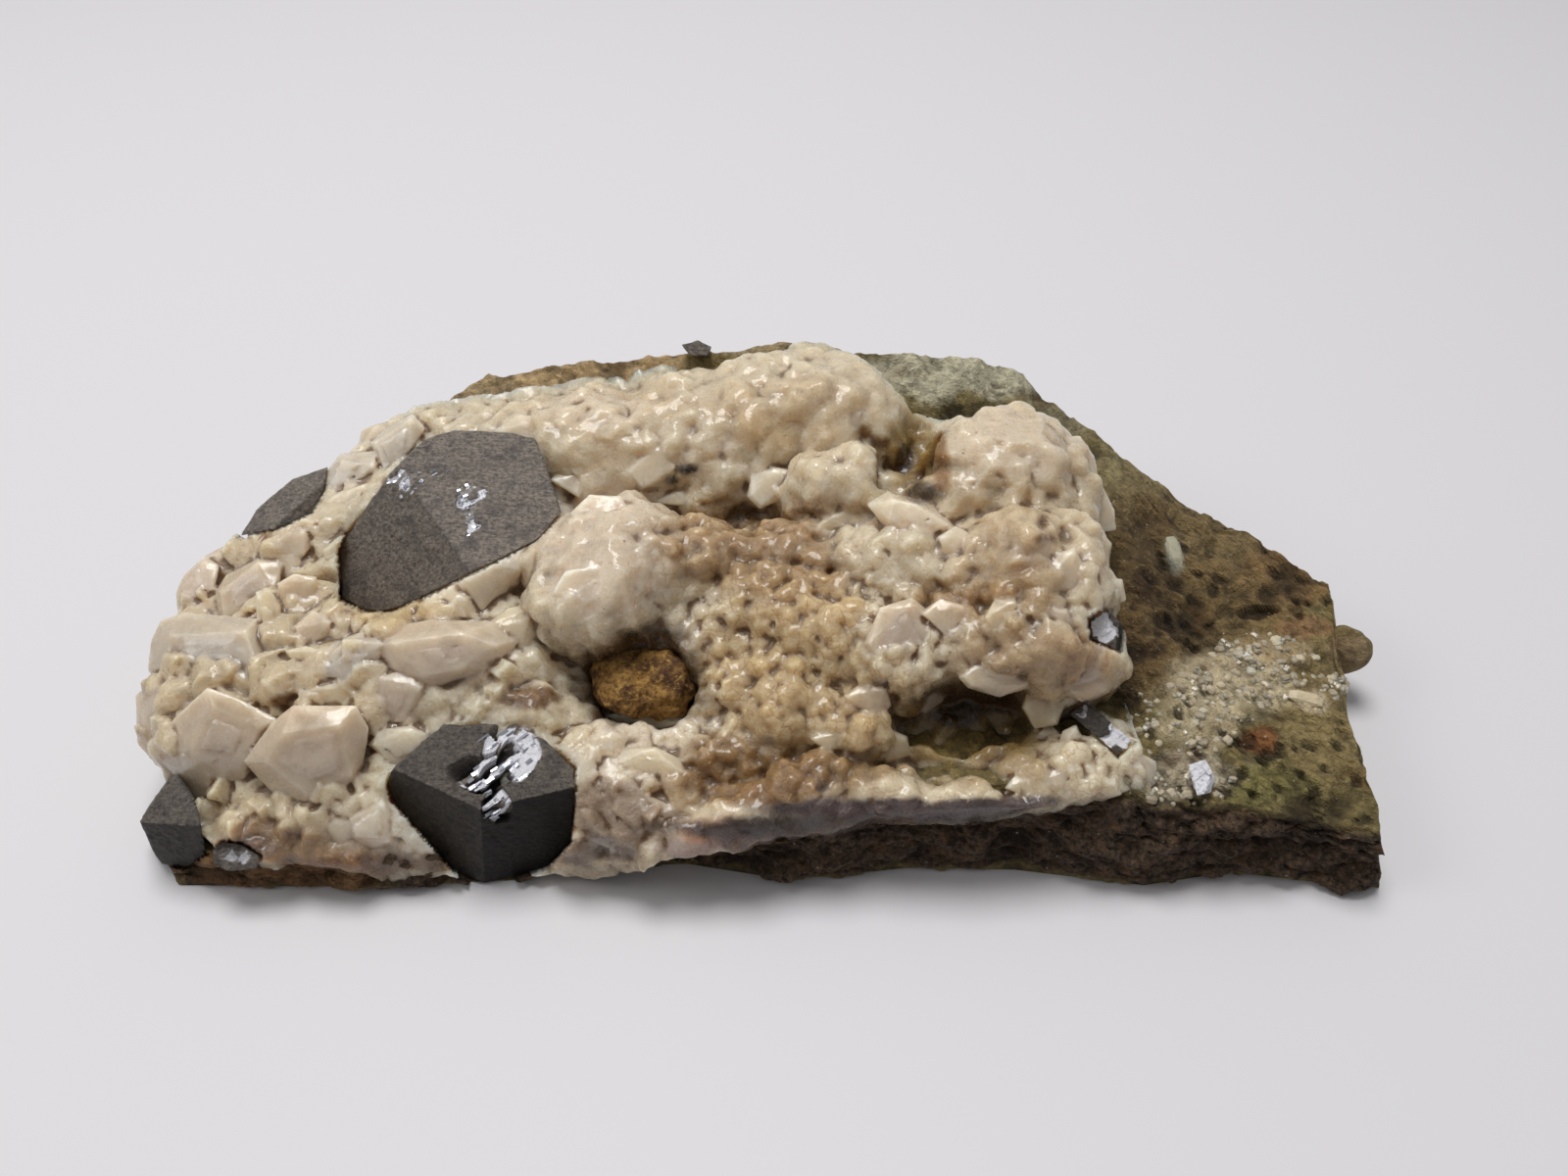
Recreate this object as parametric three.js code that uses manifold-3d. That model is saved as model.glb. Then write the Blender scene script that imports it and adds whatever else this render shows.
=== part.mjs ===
// A hand-sized galena specimen: a broken slab of brown-olive vein rock, a thick crust of milky
// crystals grown over its top and front, and grey galena crystals seated in the crust.
// Millimetres, +X to the right of the display side, +Y to the back, +Z up. The origin is the
// middle of the base, on the surface that the rock rests on.
import * as THREE from 'three';
import { ConvexGeometry } from 'three/addons/geometries/ConvexGeometry.js';
import { mergeVertices } from 'three/addons/utils/BufferGeometryUtils.js';
import Module from 'manifold-3d';

const wasm = await Module();
wasm.setup();

// Driving dimensions. The specimen is about 94 long, 44 deep and 23 high.
const EYE = [0.1, -70.3, 77.5]; // the viewpoint that the display side is laid out from
const DOWN = THREE.MathUtils.degToRad(44); // how far the view looks down
const FOCAL = 1270; // of the view, in pixels of a 1600 x 1200 picture
const MIDDLE = [800, 600];
const PIXELS_PER_MM = 14.5; // of the view, at the specimen
const GAP = 0.3; // left between neighbours that touch
const CRUST_LEAN = THREE.MathUtils.degToRad(25); // how far the crust's growth leans to the front
const CRUST_LEVEL = 14; // height of the leaning plane that the crust is measured from

// The point seen at a pixel of the display view, z above the base.
function seen(px, py, z) {
  const right = (px - MIDDLE[0]) / FOCAL;
  const up = (MIDDLE[1] - py) / FOCAL;
  const ray = new THREE.Vector3(
    right,
    Math.cos(DOWN) + up * Math.sin(DOWN),
    -Math.sin(DOWN) + up * Math.cos(DOWN),
  );
  return new THREE.Vector3(...EYE).addScaledVector(ray, (z - EYE[2]) / ray.z);
}

// Straight-line reading of a table of [key, value, value...] rows, kept sorted by key.
function reading(table, key, column) {
  const last = table.length - 1;
  if (key <= table[0][0]) return table[0][column];
  if (key >= table[last][0]) return table[last][column];
  const i = table.findIndex((row) => row[0] > key);
  const share = (key - table[i - 1][0]) / (table[i][0] - table[i - 1][0]);
  return THREE.MathUtils.lerp(table[i - 1][column], table[i][column], share);
}

// Broken-rock unevenness, between about -1 and 1: three long waves and two short ones, crossing.
function rough(p, length) {
  const k = (2 * Math.PI) / length;
  const long =
    Math.sin(k * (0.9 * p.x + 0.4 * p.y - 0.3 * p.z)) +
    Math.sin(k * (-0.5 * p.x + 0.8 * p.y + 0.6 * p.z) + 1.7) +
    Math.sin(k * (0.3 * p.x - 0.6 * p.y + 0.9 * p.z) + 4.1);
  const short =
    Math.sin(2.7 * k * (0.7 * p.x - 0.7 * p.y + 0.2 * p.z) + 0.6) +
    Math.sin(2.7 * k * (0.6 * p.x + 0.5 * p.y - 0.8 * p.z) + 2.9);
  return (long + 0.6 * short) / 3;
}

// A closed surface through rings of points, each end closed by a fan to the ring's middle.
function loft(rings) {
  const around = rings[0].length;
  const middle = (ring) =>
    ring.reduce((sum, p) => sum.add(p), new THREE.Vector3()).divideScalar(around);
  const points = [...rings.flat(), middle(rings[0]), middle(rings.at(-1))];
  const start = points.length - 2;
  const index = [];
  rings.forEach((ring, i) => {
    ring.forEach((_, j) => {
      const a = i * around + j;
      const b = i * around + ((j + 1) % around);
      if (i === 0) index.push(start, a, b);
      if (i === rings.length - 1) index.push(start + 1, b, a);
      else index.push(a, a + around, b, b, a + around, b + around);
    });
  });
  const geometry = new THREE.BufferGeometry().setFromPoints(points);
  geometry.setIndex(index);
  return geometry;
}

// A closed three.js geometry as a solid that can be joined and cut.
function solidOf(geometry) {
  const bare = geometry.clone();
  bare.deleteAttribute('normal');
  bare.deleteAttribute('uv');
  const merged = mergeVertices(bare, 1e-4);
  const mesh = new wasm.Mesh({
    numProp: 3,
    vertProperties: merged.attributes.position.array,
    triVerts: new Uint32Array(merged.index.array),
  });
  const solid = new wasm.Manifold(mesh);
  if (solid.volume() > 0) return solid;
  mesh.triVerts.forEach((_, i, list) => {
    if (i % 3 === 1) [list[i], list[i + 1]] = [list[i + 1], list[i]];
  });
  return new wasm.Manifold(mesh);
}

// The largest body of a solid: crumbs that a cut leaves loose are dropped.
function mainBody(solid) {
  const bodies = solid.decompose();
  return bodies.reduce((best, b) => (b.volume() > best.volume() ? b : best));
}

function meshOf(name, solid, material) {
  const made = mainBody(solid).getMesh();
  const geometry = new THREE.BufferGeometry();
  const position = new THREE.BufferAttribute(new Float32Array(made.vertProperties), 3);
  geometry.setAttribute('position', position);
  geometry.setIndex(new THREE.BufferAttribute(made.triVerts, 1));
  geometry.computeVertexNormals();
  const mesh = new THREE.Mesh(geometry, material);
  mesh.name = name;
  return mesh;
}

// The turn that carries +Z to a direction (azimuth from the front, to the right; elevation above
// level) after a spin about +Z. Degrees.
function facing(azimuth, elevation, spin) {
  const [a, e, s] = [azimuth, elevation, spin].map(THREE.MathUtils.degToRad);
  const way = new THREE.Vector3(
    Math.sin(a) * Math.cos(e),
    -Math.cos(a) * Math.cos(e),
    Math.sin(e),
  );
  const tip = new THREE.Quaternion().setFromUnitVectors(new THREE.Vector3(0, 0, 1), way);
  const turn = new THREE.Quaternion().setFromAxisAngle(new THREE.Vector3(0, 0, 1), s);
  return tip.multiply(turn);
}

// A box of half sizes about a centre, after a turn.
function turnedBox(centre, sizes, quaternion) {
  const box = new THREE.BoxGeometry(...sizes.map((size) => 2 * size));
  box.applyQuaternion(quaternion);
  box.translate(...centre.toArray());
  return solidOf(box);
}

// Vein rock. Tables along X: the front foot, the front lip above it and the ridge behind.
const ROCK_FOOT = [
  [-45.6, -17.5],
  [-43.4, -21.3],
  [-32.6, -21.4],
  [-19.6, -20.9],
  [-15, -19.8],
  [-6.9, -19.5],
  [0.1, -20.8],
  [3.6, -20.5],
  [9.4, -19.8],
  [16.9, -20.0],
  [26, -21.3],
  [32.4, -20.2],
  [38.4, -21.0],
  [42.9, -21.5],
];
const ROCK_LIP = [
  [-45.6, 0.4, 2.4],
  [-43.4, 0.3, 3.4],
  [-32.6, 0.4, 4.0],
  [-19.6, 0.5, 4.0],
  [-8.6, 0.4, 5.2],
  [0.1, 0.8, 6.4],
  [9.4, 0.8, 8.0],
  [23.4, 1.6, 8.6],
  [32.4, 0.4, 7.4],
  [42.9, 0.3, 6.2],
];
// [x, y, z, back foot y, how far the top sags between lip and ridge]
const ROCK_RIDGE = [
  [-45.6, -8.0, 4.2, -5.5, 0.2],
  [-43.6, -1.5, 6.8, 1.5, 0.5],
  [-39.6, 5.6, 10.4, 8.6, 1.0],
  [-34.1, 11.6, 13.2, 14.6, 2.0],
  [-30.1, 15.0, 15.2, 17.8, 3.0],
  [-24.6, 17.3, 17.6, 19.5, 3.5],
  [-16.1, 17.3, 19.2, 20.5, 4.5],
  [-7.6, 17.5, 19.6, 21.0, 5.0],
  [0.1, 18.5, 19.8, 21.5, 5.0],
  [8.4, 19.5, 18.4, 21.7, 4.5],
  [14.4, 20.6, 17.5, 21.8, 3.5],
  [20.4, 20.6, 16.0, 21.7, 2.0],
  [24.9, 16.2, 14.3, 18.3, 0.8],
  [27.4, 14.0, 13.4, 16.0, 0.2],
  [32.4, 10.8, 10.2, 12.8, 0],
  [38.4, 6.0, 9.4, 8.0, 0],
  [42.9, 2.0, 8.2, 4.4, 0],
];
// How far the broken right end stands out, against Y, and how far it draws in per mm of height.
const ROCK_END = [
  [-21.5, -0.1],
  [-15.5, 0.6],
  [-7, 1.0],
  [1.4, 3.4],
];
const ROCK_END_IN = 0.3;
const ROCK_END_FROM = 22; // the end's slant fades in from here on
const ROCK_COLUMNS = 36;
const ROCK_ROUGH = 0.5;

// One cross-section of the rock, as [y, z] corners from the front foot, up, over and back down.
function rockSection(x) {
  const foot = reading(ROCK_FOOT, x, 1);
  const lipY = foot + reading(ROCK_LIP, x, 1);
  const lip = reading(ROCK_LIP, x, 2);
  const [ridgeY, ridge, back, sag] = [1, 2, 3, 4].map((k) => reading(ROCK_RIDGE, x, k));
  const corners = [
    [foot + 0.5, 0],
    [foot, 0.2 * lip],
    [foot + 0.9, 0.55 * lip],
    [lipY - 0.1, 0.75 * lip],
    [lipY + 0.7, lip],
  ];
  const steps = 9;
  for (let i = 1; i <= steps; i++) {
    const t = i / steps;
    const y = THREE.MathUtils.lerp(lipY + 0.7, ridgeY, t);
    const z = THREE.MathUtils.lerp(lip, ridge, t);
    corners.push([y, z - sag * Math.sin(Math.PI * t)]);
  }
  corners.push([ridgeY + 0.35 * (back - ridgeY), 0.9 * ridge]);
  corners.push([ridgeY + 0.75 * (back - ridgeY), 0.6 * ridge]);
  corners.push([back, 0.3 * ridge]);
  corners.push([back - 0.9, 0]);
  const feet = 4;
  for (let i = 1; i < feet; i++) {
    corners.push([THREE.MathUtils.lerp(back - 0.9, foot + 0.5, i / feet), 0]);
  }
  return corners;
}

function rockSolid(grow = 0) {
  const first = ROCK_RIDGE[0][0];
  const last = ROCK_RIDGE.at(-1)[0];
  const rings = [];
  for (let i = 0; i <= ROCK_COLUMNS; i++) {
    const x = THREE.MathUtils.lerp(first, last, i / ROCK_COLUMNS);
    const corners = rockSection(x);
    const ring = corners.map(([y, z], j) => {
      const before = corners.at(j - 1);
      const after = corners[(j + 1) % corners.length];
      const away = new THREE.Vector3(0, before[1] - after[1], after[0] - before[0]).normalize();
      const p = new THREE.Vector3(x, y, z);
      const lift = z > 0 ? ROCK_ROUGH * rough(p, 9) : 0;
      p.addScaledVector(away, lift + grow);
      p.z = z > 0 ? Math.max(p.z, 0.2) : p.z;
      const slant = THREE.MathUtils.smoothstep(x, ROCK_END_FROM, last);
      const ends = (2 * i) / ROCK_COLUMNS - 1;
      p.x += slant * (reading(ROCK_END, y, 1) - ROCK_END_IN * z) + grow * ends;
      return p;
    });
    rings.push(ring);
  }
  return solidOf(loft(rings));
}

// The small rounded knob that stands out of the rock's right end.
const KNOB = { at: [1372, 662, 4.6], half: [2.1, 1.7, 2.2], lean: -32 };

function knobSolid() {
  const knob = new THREE.SphereGeometry(1, 9, 7);
  knob.scale(...KNOB.half);
  knob.rotateZ(THREE.MathUtils.degToRad(KNOB.lean));
  knob.translate(...seen(...KNOB.at).toArray());
  return solidOf(knob);
}

// Crust. It is measured on a plane that leans to the front: u along X, v up the lean and w out
// of it. Its front and back edges are given as places seen, [pixel x, pixel y, height].
const CRUST_FRONT_EDGE = [
  [137, 742, 8.5],
  [150, 806, 8],
  [215, 862, 6],
  [290, 878, 5.4],
  [370, 886, 5.2],
  [470, 888, 5.3],
  [585, 882, 5.6],
  [640, 880, 4.5],
  [700, 876, 4.6],
  [760, 862, 5.6],
  [830, 850, 6.2],
  [900, 832, 7.2],
  [960, 828, 7.4],
  [1040, 826, 7.4],
  [1085, 821, 7.8],
  [1110, 809, 8.4],
  [1165, 798, 8.4],
];
const CRUST_BACK_EDGE = [
  [133, 712, 9],
  [150, 648, 10],
  [178, 598, 11],
  [222, 566, 12.3],
  [262, 544, 13.2],
  [322, 500, 14.3],
  [372, 446, 16],
  [430, 408, 17.6],
  [500, 389, 19.4],
  [560, 374, 20.2],
  [620, 363, 20.8],
  [700, 355, 21.3],
  [760, 350, 21.4],
  [850, 350, 21.2],
  [905, 395, 19.2],
  [950, 405, 19.6],
  [1000, 402, 20.2],
  [1050, 410, 19.6],
  [1098, 440, 17.5],
  [1128, 500, 15],
  [1150, 590, 12],
  [1165, 700, 9.4],
];
// Lumps of the crust: [pixel x, pixel y, height of its face, half width, half length up the
// lean, half thickness], the last three in mm.
const CRUST_LUMPS = [
  [220, 700, 11, 6.5, 8, 6],
  [300, 700, 11.5, 11, 10, 7],
  [330, 560, 13, 9, 8, 6],
  [450, 520, 15.5, 13, 9, 7],
  [430, 660, 13.2, 13, 9, 7],
  [375, 800, 8.2, 10, 5, 6],
  [250, 844, 6.2, 5.6, 2.8, 3],
  [325, 858, 5.2, 6, 2.4, 3],
  [400, 840, 5.6, 7, 3, 4],
  [480, 720, 11, 8, 4, 5],
  [590, 780, 9.2, 8, 4, 5],
  [640, 810, 8, 9, 4.5, 5],
  [600, 850, 4.8, 6, 2.6, 4],
  [680, 800, 8.4, 6, 4, 4],
  [480, 450, 17, 9, 6, 5],
  [610, 440, 19, 12, 6.5, 6],
  [740, 420, 20.2, 13, 7, 7],
  [820, 400, 21, 9, 7, 6],
  [870, 480, 20, 6, 4, 5],
  [600, 590, 17.6, 4.6, 4.2, 5],
  [622, 545, 18.4, 6.2, 4.4, 5],
  [560, 560, 17, 4, 3.6, 4],
  [612, 568, 18.4, 6.4, 6.0, 5.5],
  [700, 570, 16.6, 6, 5, 5],
  [770, 610, 15.2, 8, 6.5, 6],
  [800, 556, 16.8, 8, 3.2, 3.5],
  [800, 690, 12.6, 8, 5.5, 6],
  [740, 760, 9.6, 8, 3.6, 5],
  [700, 840, 6.8, 5, 3, 3],
  [770, 825, 8.0, 5, 2.6, 3],
  [840, 808, 8.9, 5.5, 2.4, 3],
  [910, 802, 9.2, 4.5, 2, 2.6],
  [985, 813, 8.8, 5.2, 1.8, 2.2],
  [1050, 818, 8.4, 3.2, 1.5, 2.0],
  [850, 630, 15.6, 7, 5.5, 6],
  [870, 720, 12, 5, 3.6, 4.5],
  [915, 650, 15.8, 4.6, 4.6, 5],
  [930, 560, 18.2, 6, 4.6, 5],
  [1036, 466, 22.4, 7.8, 6.2, 8],
  [1060, 560, 20.4, 7, 6.5, 8],
  [1095, 600, 18.4, 4.2, 6, 7],
  [1050, 640, 17.4, 5.6, 4.6, 6],
  [985, 640, 16.8, 5, 4, 5.5],
  [1115, 670, 15, 2.4, 2.8, 5],
  [1085, 690, 13.4, 2.6, 2.4, 4],
  [985, 745, 9.6, 8, 3.6, 4],
  [1090, 785, 9.8, 5.4, 2.8, 3.6],
  [1140, 770, 9.6, 3.2, 3, 3],
];
// Hollows: [pixel x, pixel y, height about there, half width, half length, depth].
const CRUST_HOLLOWS = [
  [657, 688, 12.6, 5.2, 3.4, 6.5],
  [922, 468, 19.4, 2.7, 3.3, 5.5],
  [990, 728, 11.5, 6.2, 2.5, 4.2],
  [525, 716, 12.6, 1.3, 1.1, 2.2],
  [288, 722, 11.6, 1.2, 1.2, 2.2],
];
const CRUST_COLUMNS = 36;
const CRUST_ROWS = 17;
const CRUST_ROUGH = 0.35;
const CRUST_LEAST = -3; // height out of the leaning plane where no lump reaches
// Height of the crust's underside, before the rock trims it, against X.
const CRUST_FLOOR = [
  [-48.6, 3.4],
  [-42.6, 1.8],
  [-30.6, 2.6],
  [-0.6, 4.5],
  [26.4, 6.5],
];

const U = new THREE.Vector3(1, 0, 0);
const V = new THREE.Vector3(0, Math.cos(CRUST_LEAN), Math.sin(CRUST_LEAN));
const W = new THREE.Vector3(0, -Math.sin(CRUST_LEAN), Math.cos(CRUST_LEAN));
const LEVEL = new THREE.Vector3(0, 0, CRUST_LEVEL);

function onLean(px, py, z) {
  const p = seen(px, py, z).sub(LEVEL);
  return [p.dot(U), p.dot(V), p.dot(W)];
}

// How far a place lies inside an oval: 1 in the middle, 0 on its edge, below 0 outside.
function inOval(u, v, [cu, cv], a, b) {
  return 1 - ((u - cu) / a) ** 2 - ((v - cv) / b) ** 2;
}

const lumps = CRUST_LUMPS.map(([px, py, z, a, b, c]) => ({ at: onLean(px, py, z), a, b, c }));
const hollows = CRUST_HOLLOWS.map(([px, py, z, a, b, c]) => ({ at: onLean(px, py, z), a, b, c }));

// Height of the crust out of the leaning plane: the tallest lump there, less the hollows.
function crustHeight(u, v) {
  let w = CRUST_LEAST;
  for (const { at, a, b, c } of lumps) {
    const inside = inOval(u, v, at, a, b);
    if (inside > 0) w = Math.max(w, at[2] - c + c * Math.sqrt(inside));
  }
  for (const { at, a, b, c } of hollows) {
    const inside = inOval(u, v, at, a, b);
    if (inside > 0) w = Math.min(w, at[2] - c * Math.min(1, 2.2 * inside));
  }
  return w;
}

function crustSolid() {
  const front = CRUST_FRONT_EDGE.map((place) => onLean(...place));
  const back = CRUST_BACK_EDGE.map((place) => onLean(...place));
  const start = Math.max(front[0][0], back[0][0]);
  const end = Math.min(front.at(-1)[0], back.at(-1)[0]);
  const rings = [];
  for (let i = 0; i <= CRUST_COLUMNS; i++) {
    const u = THREE.MathUtils.lerp(start, end, i / CRUST_COLUMNS);
    const [low, high] = [reading(front, u, 1), reading(back, u, 1)];
    const ring = [];
    for (let j = 0; j <= CRUST_ROWS; j++) {
      const v = THREE.MathUtils.lerp(low, high, j / CRUST_ROWS);
      const w = crustHeight(u, v);
      const p = LEVEL.clone().addScaledVector(U, u).addScaledVector(V, v).addScaledVector(W, w);
      p.addScaledVector(W, CRUST_ROUGH * rough(p, 5));
      ring.push(p);
    }
    const [nearest, farthest] = [ring[0], ring.at(-1)];
    const floor = reading(CRUST_FLOOR, u, 1);
    const behind = Math.min(floor + 4, farthest.z - 1.5);
    ring.push(new THREE.Vector3(u, farthest.y - 2.5, behind));
    ring.push(new THREE.Vector3(u, nearest.y + 3, floor));
    ring.push(new THREE.Vector3(u, nearest.y + 0.6, Math.min(floor + 0.4, nearest.z - 0.6)));
    rings.push(ring);
  }
  return solidOf(loft(rings));
}

// Milky crystals that stand out of the crust: [outline seen, top, [azimuth, elevation, deep]].
// A top is its corners as [pixel x, pixel y, rise towards the viewer], or just the rise, and then
// it is every other corner of the outline, drawn in.
const MILKY_CRYSTALS = [
  [
    [[155, 684], [158, 655], [167, 636], [190, 628], [258, 634], [279, 690], [264, 726], [205, 702]],
    [[175, 648, 1.4], [250, 644, 1.7], [266, 690, 1.6], [206, 688, 1.7], [167, 680, 1.2]],
    [-14, 48, 8],
  ],
  [
    [[131, 736], [138, 711], [155, 698], [178, 693], [212, 702], [182, 735], [160, 778], [136, 756]],
    [[160, 708, 1.5], [190, 710, 1.3], [166, 748, 1.2], [149, 734, 1.1]],
    [-18, 40, 6],
  ],
  [
    [[163, 770], [180, 735], [212, 706], [240, 716], [279, 736], [256, 792], [245, 812], [205, 815],
      [178, 782]],
    [[196, 764, 1.8], [250, 776, 1.8], [218, 722, 1.0], [264, 742, 1.0], [214, 802, 1.4]],
    [-8, 26, 8],
  ],
  [
    [[253, 777], [280, 740], [300, 724], [360, 724], [372, 745], [364, 800], [338, 830], [310, 834],
      [275, 800]],
    [[290, 748, 1.6], [346, 740, 1.5], [358, 790, 1.5], [312, 808, 1.7], [272, 778, 1.3]],
    [4, 30, 8],
  ],
  [[[176, 606], [188, 588], [208, 570], [222, 578], [218, 602], [196, 622], [180, 622]], 1.2,
    [-28, 52, 3.6]],
  [[[210, 568], [238, 553], [262, 548], [270, 556], [262, 570], [236, 586], [222, 580]], 1.2,
    [-16, 50, 3.6]],
  [[[222, 604], [232, 588], [264, 571], [284, 576], [284, 602], [264, 632], [226, 634]], 1.4,
    [-12, 54, 6]],
  [[[262, 606], [276, 604], [286, 620], [287, 645], [277, 690], [262, 650]], 1.2, [34, 42, 5]],
  [[[308, 694], [330, 672], [352, 652], [372, 645], [392, 655], [384, 680], [350, 698]], 1.5,
    [-24, 44, 5]],
  [[[362, 745], [368, 715], [388, 690], [410, 686], [432, 700], [428, 720], [410, 738]], 1.3,
    [-8, 36, 5]],
  [[[378, 760], [388, 745], [420, 742], [440, 752], [438, 770], [425, 785], [402, 786]], 1.3,
    [5, 40, 4]],
  [
    [[378, 662], [392, 645], [410, 640], [440, 634], [500, 636], [522, 654], [512, 680], [440, 703],
      [400, 684]],
    [[402, 656, 1.4], [470, 646, 1.8], [506, 658, 1.5], [470, 682, 1.7], [430, 690, 1.3]],
    [8, 50, 6],
  ],
  [[[500, 636], [520, 622], [548, 616], [552, 640], [534, 666], [512, 680]], 1.1, [14, 46, 4]],
  [[[437, 612], [445, 598], [455, 590], [468, 600], [477, 630], [455, 636], [440, 632]], 1.2,
    [-5, 45, 4]],
  [
    [[455, 585], [490, 557], [520, 548], [537, 552], [535, 598], [510, 616], [490, 632], [478, 628]],
    [[470, 590, 1.7], [500, 578, 2.4], [530, 580, 1.9], [488, 562, 1.4], [528, 554, 1.2],
      [492, 622, 1.2]],
    [18, 40, 5],
  ],
  [[[328, 505], [334, 482], [348, 464], [380, 462], [384, 474], [378, 490], [352, 500]], 1.4,
    [-20, 55, 3.6]],
  [[[366, 458], [370, 440], [382, 434], [400, 429], [402, 438], [388, 448]], 1.1, [-16, 52, 3.4]],
  [[[380, 452], [392, 440], [420, 424], [432, 438], [420, 458], [404, 478], [392, 484]], 1.4,
    [-6, 52, 5]],
  [[[320, 526], [334, 514], [356, 514], [352, 530], [342, 541], [328, 541]], 1.0, [0, 50, 3]],
  [[[286, 546], [300, 536], [312, 541], [318, 556], [310, 568], [290, 573], [282, 562]], 1.2,
    [4, 50, 4]],
  [[[355, 836], [370, 820], [392, 818], [402, 836], [398, 860], [376, 866], [360, 856]], 1.1,
    [0, 30, 4]],
  [[[566, 604], [578, 584], [612, 578], [634, 592], [622, 620], [590, 630]], 0.3, [4, 46, 4]],
  [[[584, 524], [602, 506], [632, 508], [644, 526], [622, 540], [598, 540]], 0.3, [-4, 60, 4]],
  [[[640, 482], [648, 464], [672, 455], [690, 464], [690, 478], [672, 495], [655, 500]], 1.3,
    [0, 44, 4]],
  [[[764, 506], [768, 486], [790, 478], [816, 482], [806, 494], [800, 508], [776, 518]], 0.8,
    [0, 46, 3]],
  [[[505, 440], [528, 424], [552, 426], [566, 446], [548, 452], [520, 448]], 0.8, [0, 56, 4]],
  [[[618, 780], [640, 766], [668, 763], [690, 774], [700, 786], [692, 798], [640, 797]], 1.0,
    [4, 42, 4]],
  [[[583, 790], [598, 757], [612, 760], [617, 798], [600, 800]], 1.0, [-10, 46, 4]],
  [[[604, 822], [625, 805], [660, 812], [690, 826], [680, 842], [640, 846], [610, 838]], 0.9,
    [0, 40, 4]],
  [[[862, 710], [880, 698], [904, 702], [908, 720], [895, 732], [872, 728]], 1.0, [0, 36, 4]],
  [[[884, 656], [900, 622], [930, 613], [952, 630], [952, 660], [932, 688], [902, 694]], 1.1,
    [6, 44, 6]],
  [
    [[888, 516], [908, 503], [946, 514], [964, 525], [978, 538], [960, 548], [930, 558], [906, 539]],
    [[912, 510, 1.7], [932, 514, 1.9], [968, 536, 1.5], [934, 548, 1.3], [908, 530, 1.4]],
    [6, 56, 4],
  ],
  [[[958, 548], [975, 538], [997, 547], [994, 558], [980, 567], [964, 563]], 1.0, [20, 50, 3]],
  [[[1008, 430], [1018, 420], [1036, 424], [1040, 438], [1020, 446]], 0.5, [6, 58, 3]],
  [[[1084, 448], [1102, 446], [1116, 466], [1120, 490], [1104, 496], [1088, 476]], 0.6,
    [30, 54, 3]],
  [[[1106, 500], [1124, 496], [1136, 520], [1138, 540], [1120, 542], [1108, 524]], 0.6,
    [36, 50, 3]],
  [[[996, 516], [1012, 498], [1040, 494], [1056, 514], [1046, 540], [1014, 540]], 0.6,
    [0, 50, 4]],
  [[[1034, 560], [1046, 544], [1066, 548], [1072, 570], [1054, 586], [1038, 580]], 0.6,
    [8, 44, 4]],
  [[[1064, 598], [1080, 566], [1096, 560], [1110, 588], [1100, 602], [1082, 608]], 0.9,
    [12, 42, 4]],
  [[[1100, 606], [1120, 590], [1144, 592], [1148, 612], [1130, 620], [1108, 622]], 0.9,
    [34, 36, 4]],
  [[[1005, 630], [1015, 614], [1036, 612], [1045, 630], [1030, 649], [1011, 645]], 0.9, [0, 42, 4]],
  [[[1052, 640], [1064, 618], [1088, 622], [1096, 642], [1078, 656], [1060, 654]], 0.9, [8, 42, 4]],
  [[[1086, 682], [1100, 652], [1124, 656], [1140, 688], [1130, 706], [1106, 715], [1092, 708]], 1.2,
    [14, 34, 5]],
  [[[980, 690], [1000, 671], [1040, 661], [1060, 680], [1050, 700], [1020, 710], [990, 701]], 1.1,
    [4, 44, 5]],
  [[[1044, 722], [1050, 702], [1074, 700], [1085, 720], [1078, 738], [1056, 742]], 1.0, [0, 36, 4]],
  [[[1076, 772], [1085, 747], [1098, 741], [1108, 760], [1104, 780], [1086, 784]], 1.0, [0, 40, 3]],
  [[[1128, 800], [1135, 780], [1160, 768], [1178, 778], [1181, 800], [1160, 814], [1140, 814]], 1.1,
    [6, 44, 4]],
];
const TOP_SHARE = 0.8; // how wide a top drawn in from the outline is
const SEAT_SHARE = 0.75; // how wide the part of an outline is that finds the crust under it
const SEAT_OFF = [-1.3, 1.3]; // how far its plane may lie off the crust under its middle
const BACK_SHARE = 0.72; // how wide a crystal's buried back is
const HIGHEST_SHARE = 0.4; // how much the highest of those places counts, against their mean
const CLEAR_OF_BASE = 0.4; // the crystals end this far above the base
const LEFT_END = -47.2; // and here at the left

// The place at which a pixel's line of sight first meets the bare crust.
function onCrust(px, py) {
  const [highest, lowest, step] = [26, 3, 0.05];
  let z = highest;
  while (z > lowest) {
    const [u, v, w] = onLean(px, py, z);
    if (w < crustHeight(u, v)) break;
    z -= step;
  }
  return seen(px, py, z);
}

// The place at which a pixel's line of sight meets a plane.
function onPlane(px, py, normal, point) {
  const eye = new THREE.Vector3(...EYE);
  const ray = seen(px, py, 0).sub(eye);
  const far = point.clone().sub(eye).dot(normal) / ray.dot(normal);
  return eye.addScaledVector(ray, far);
}

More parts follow.
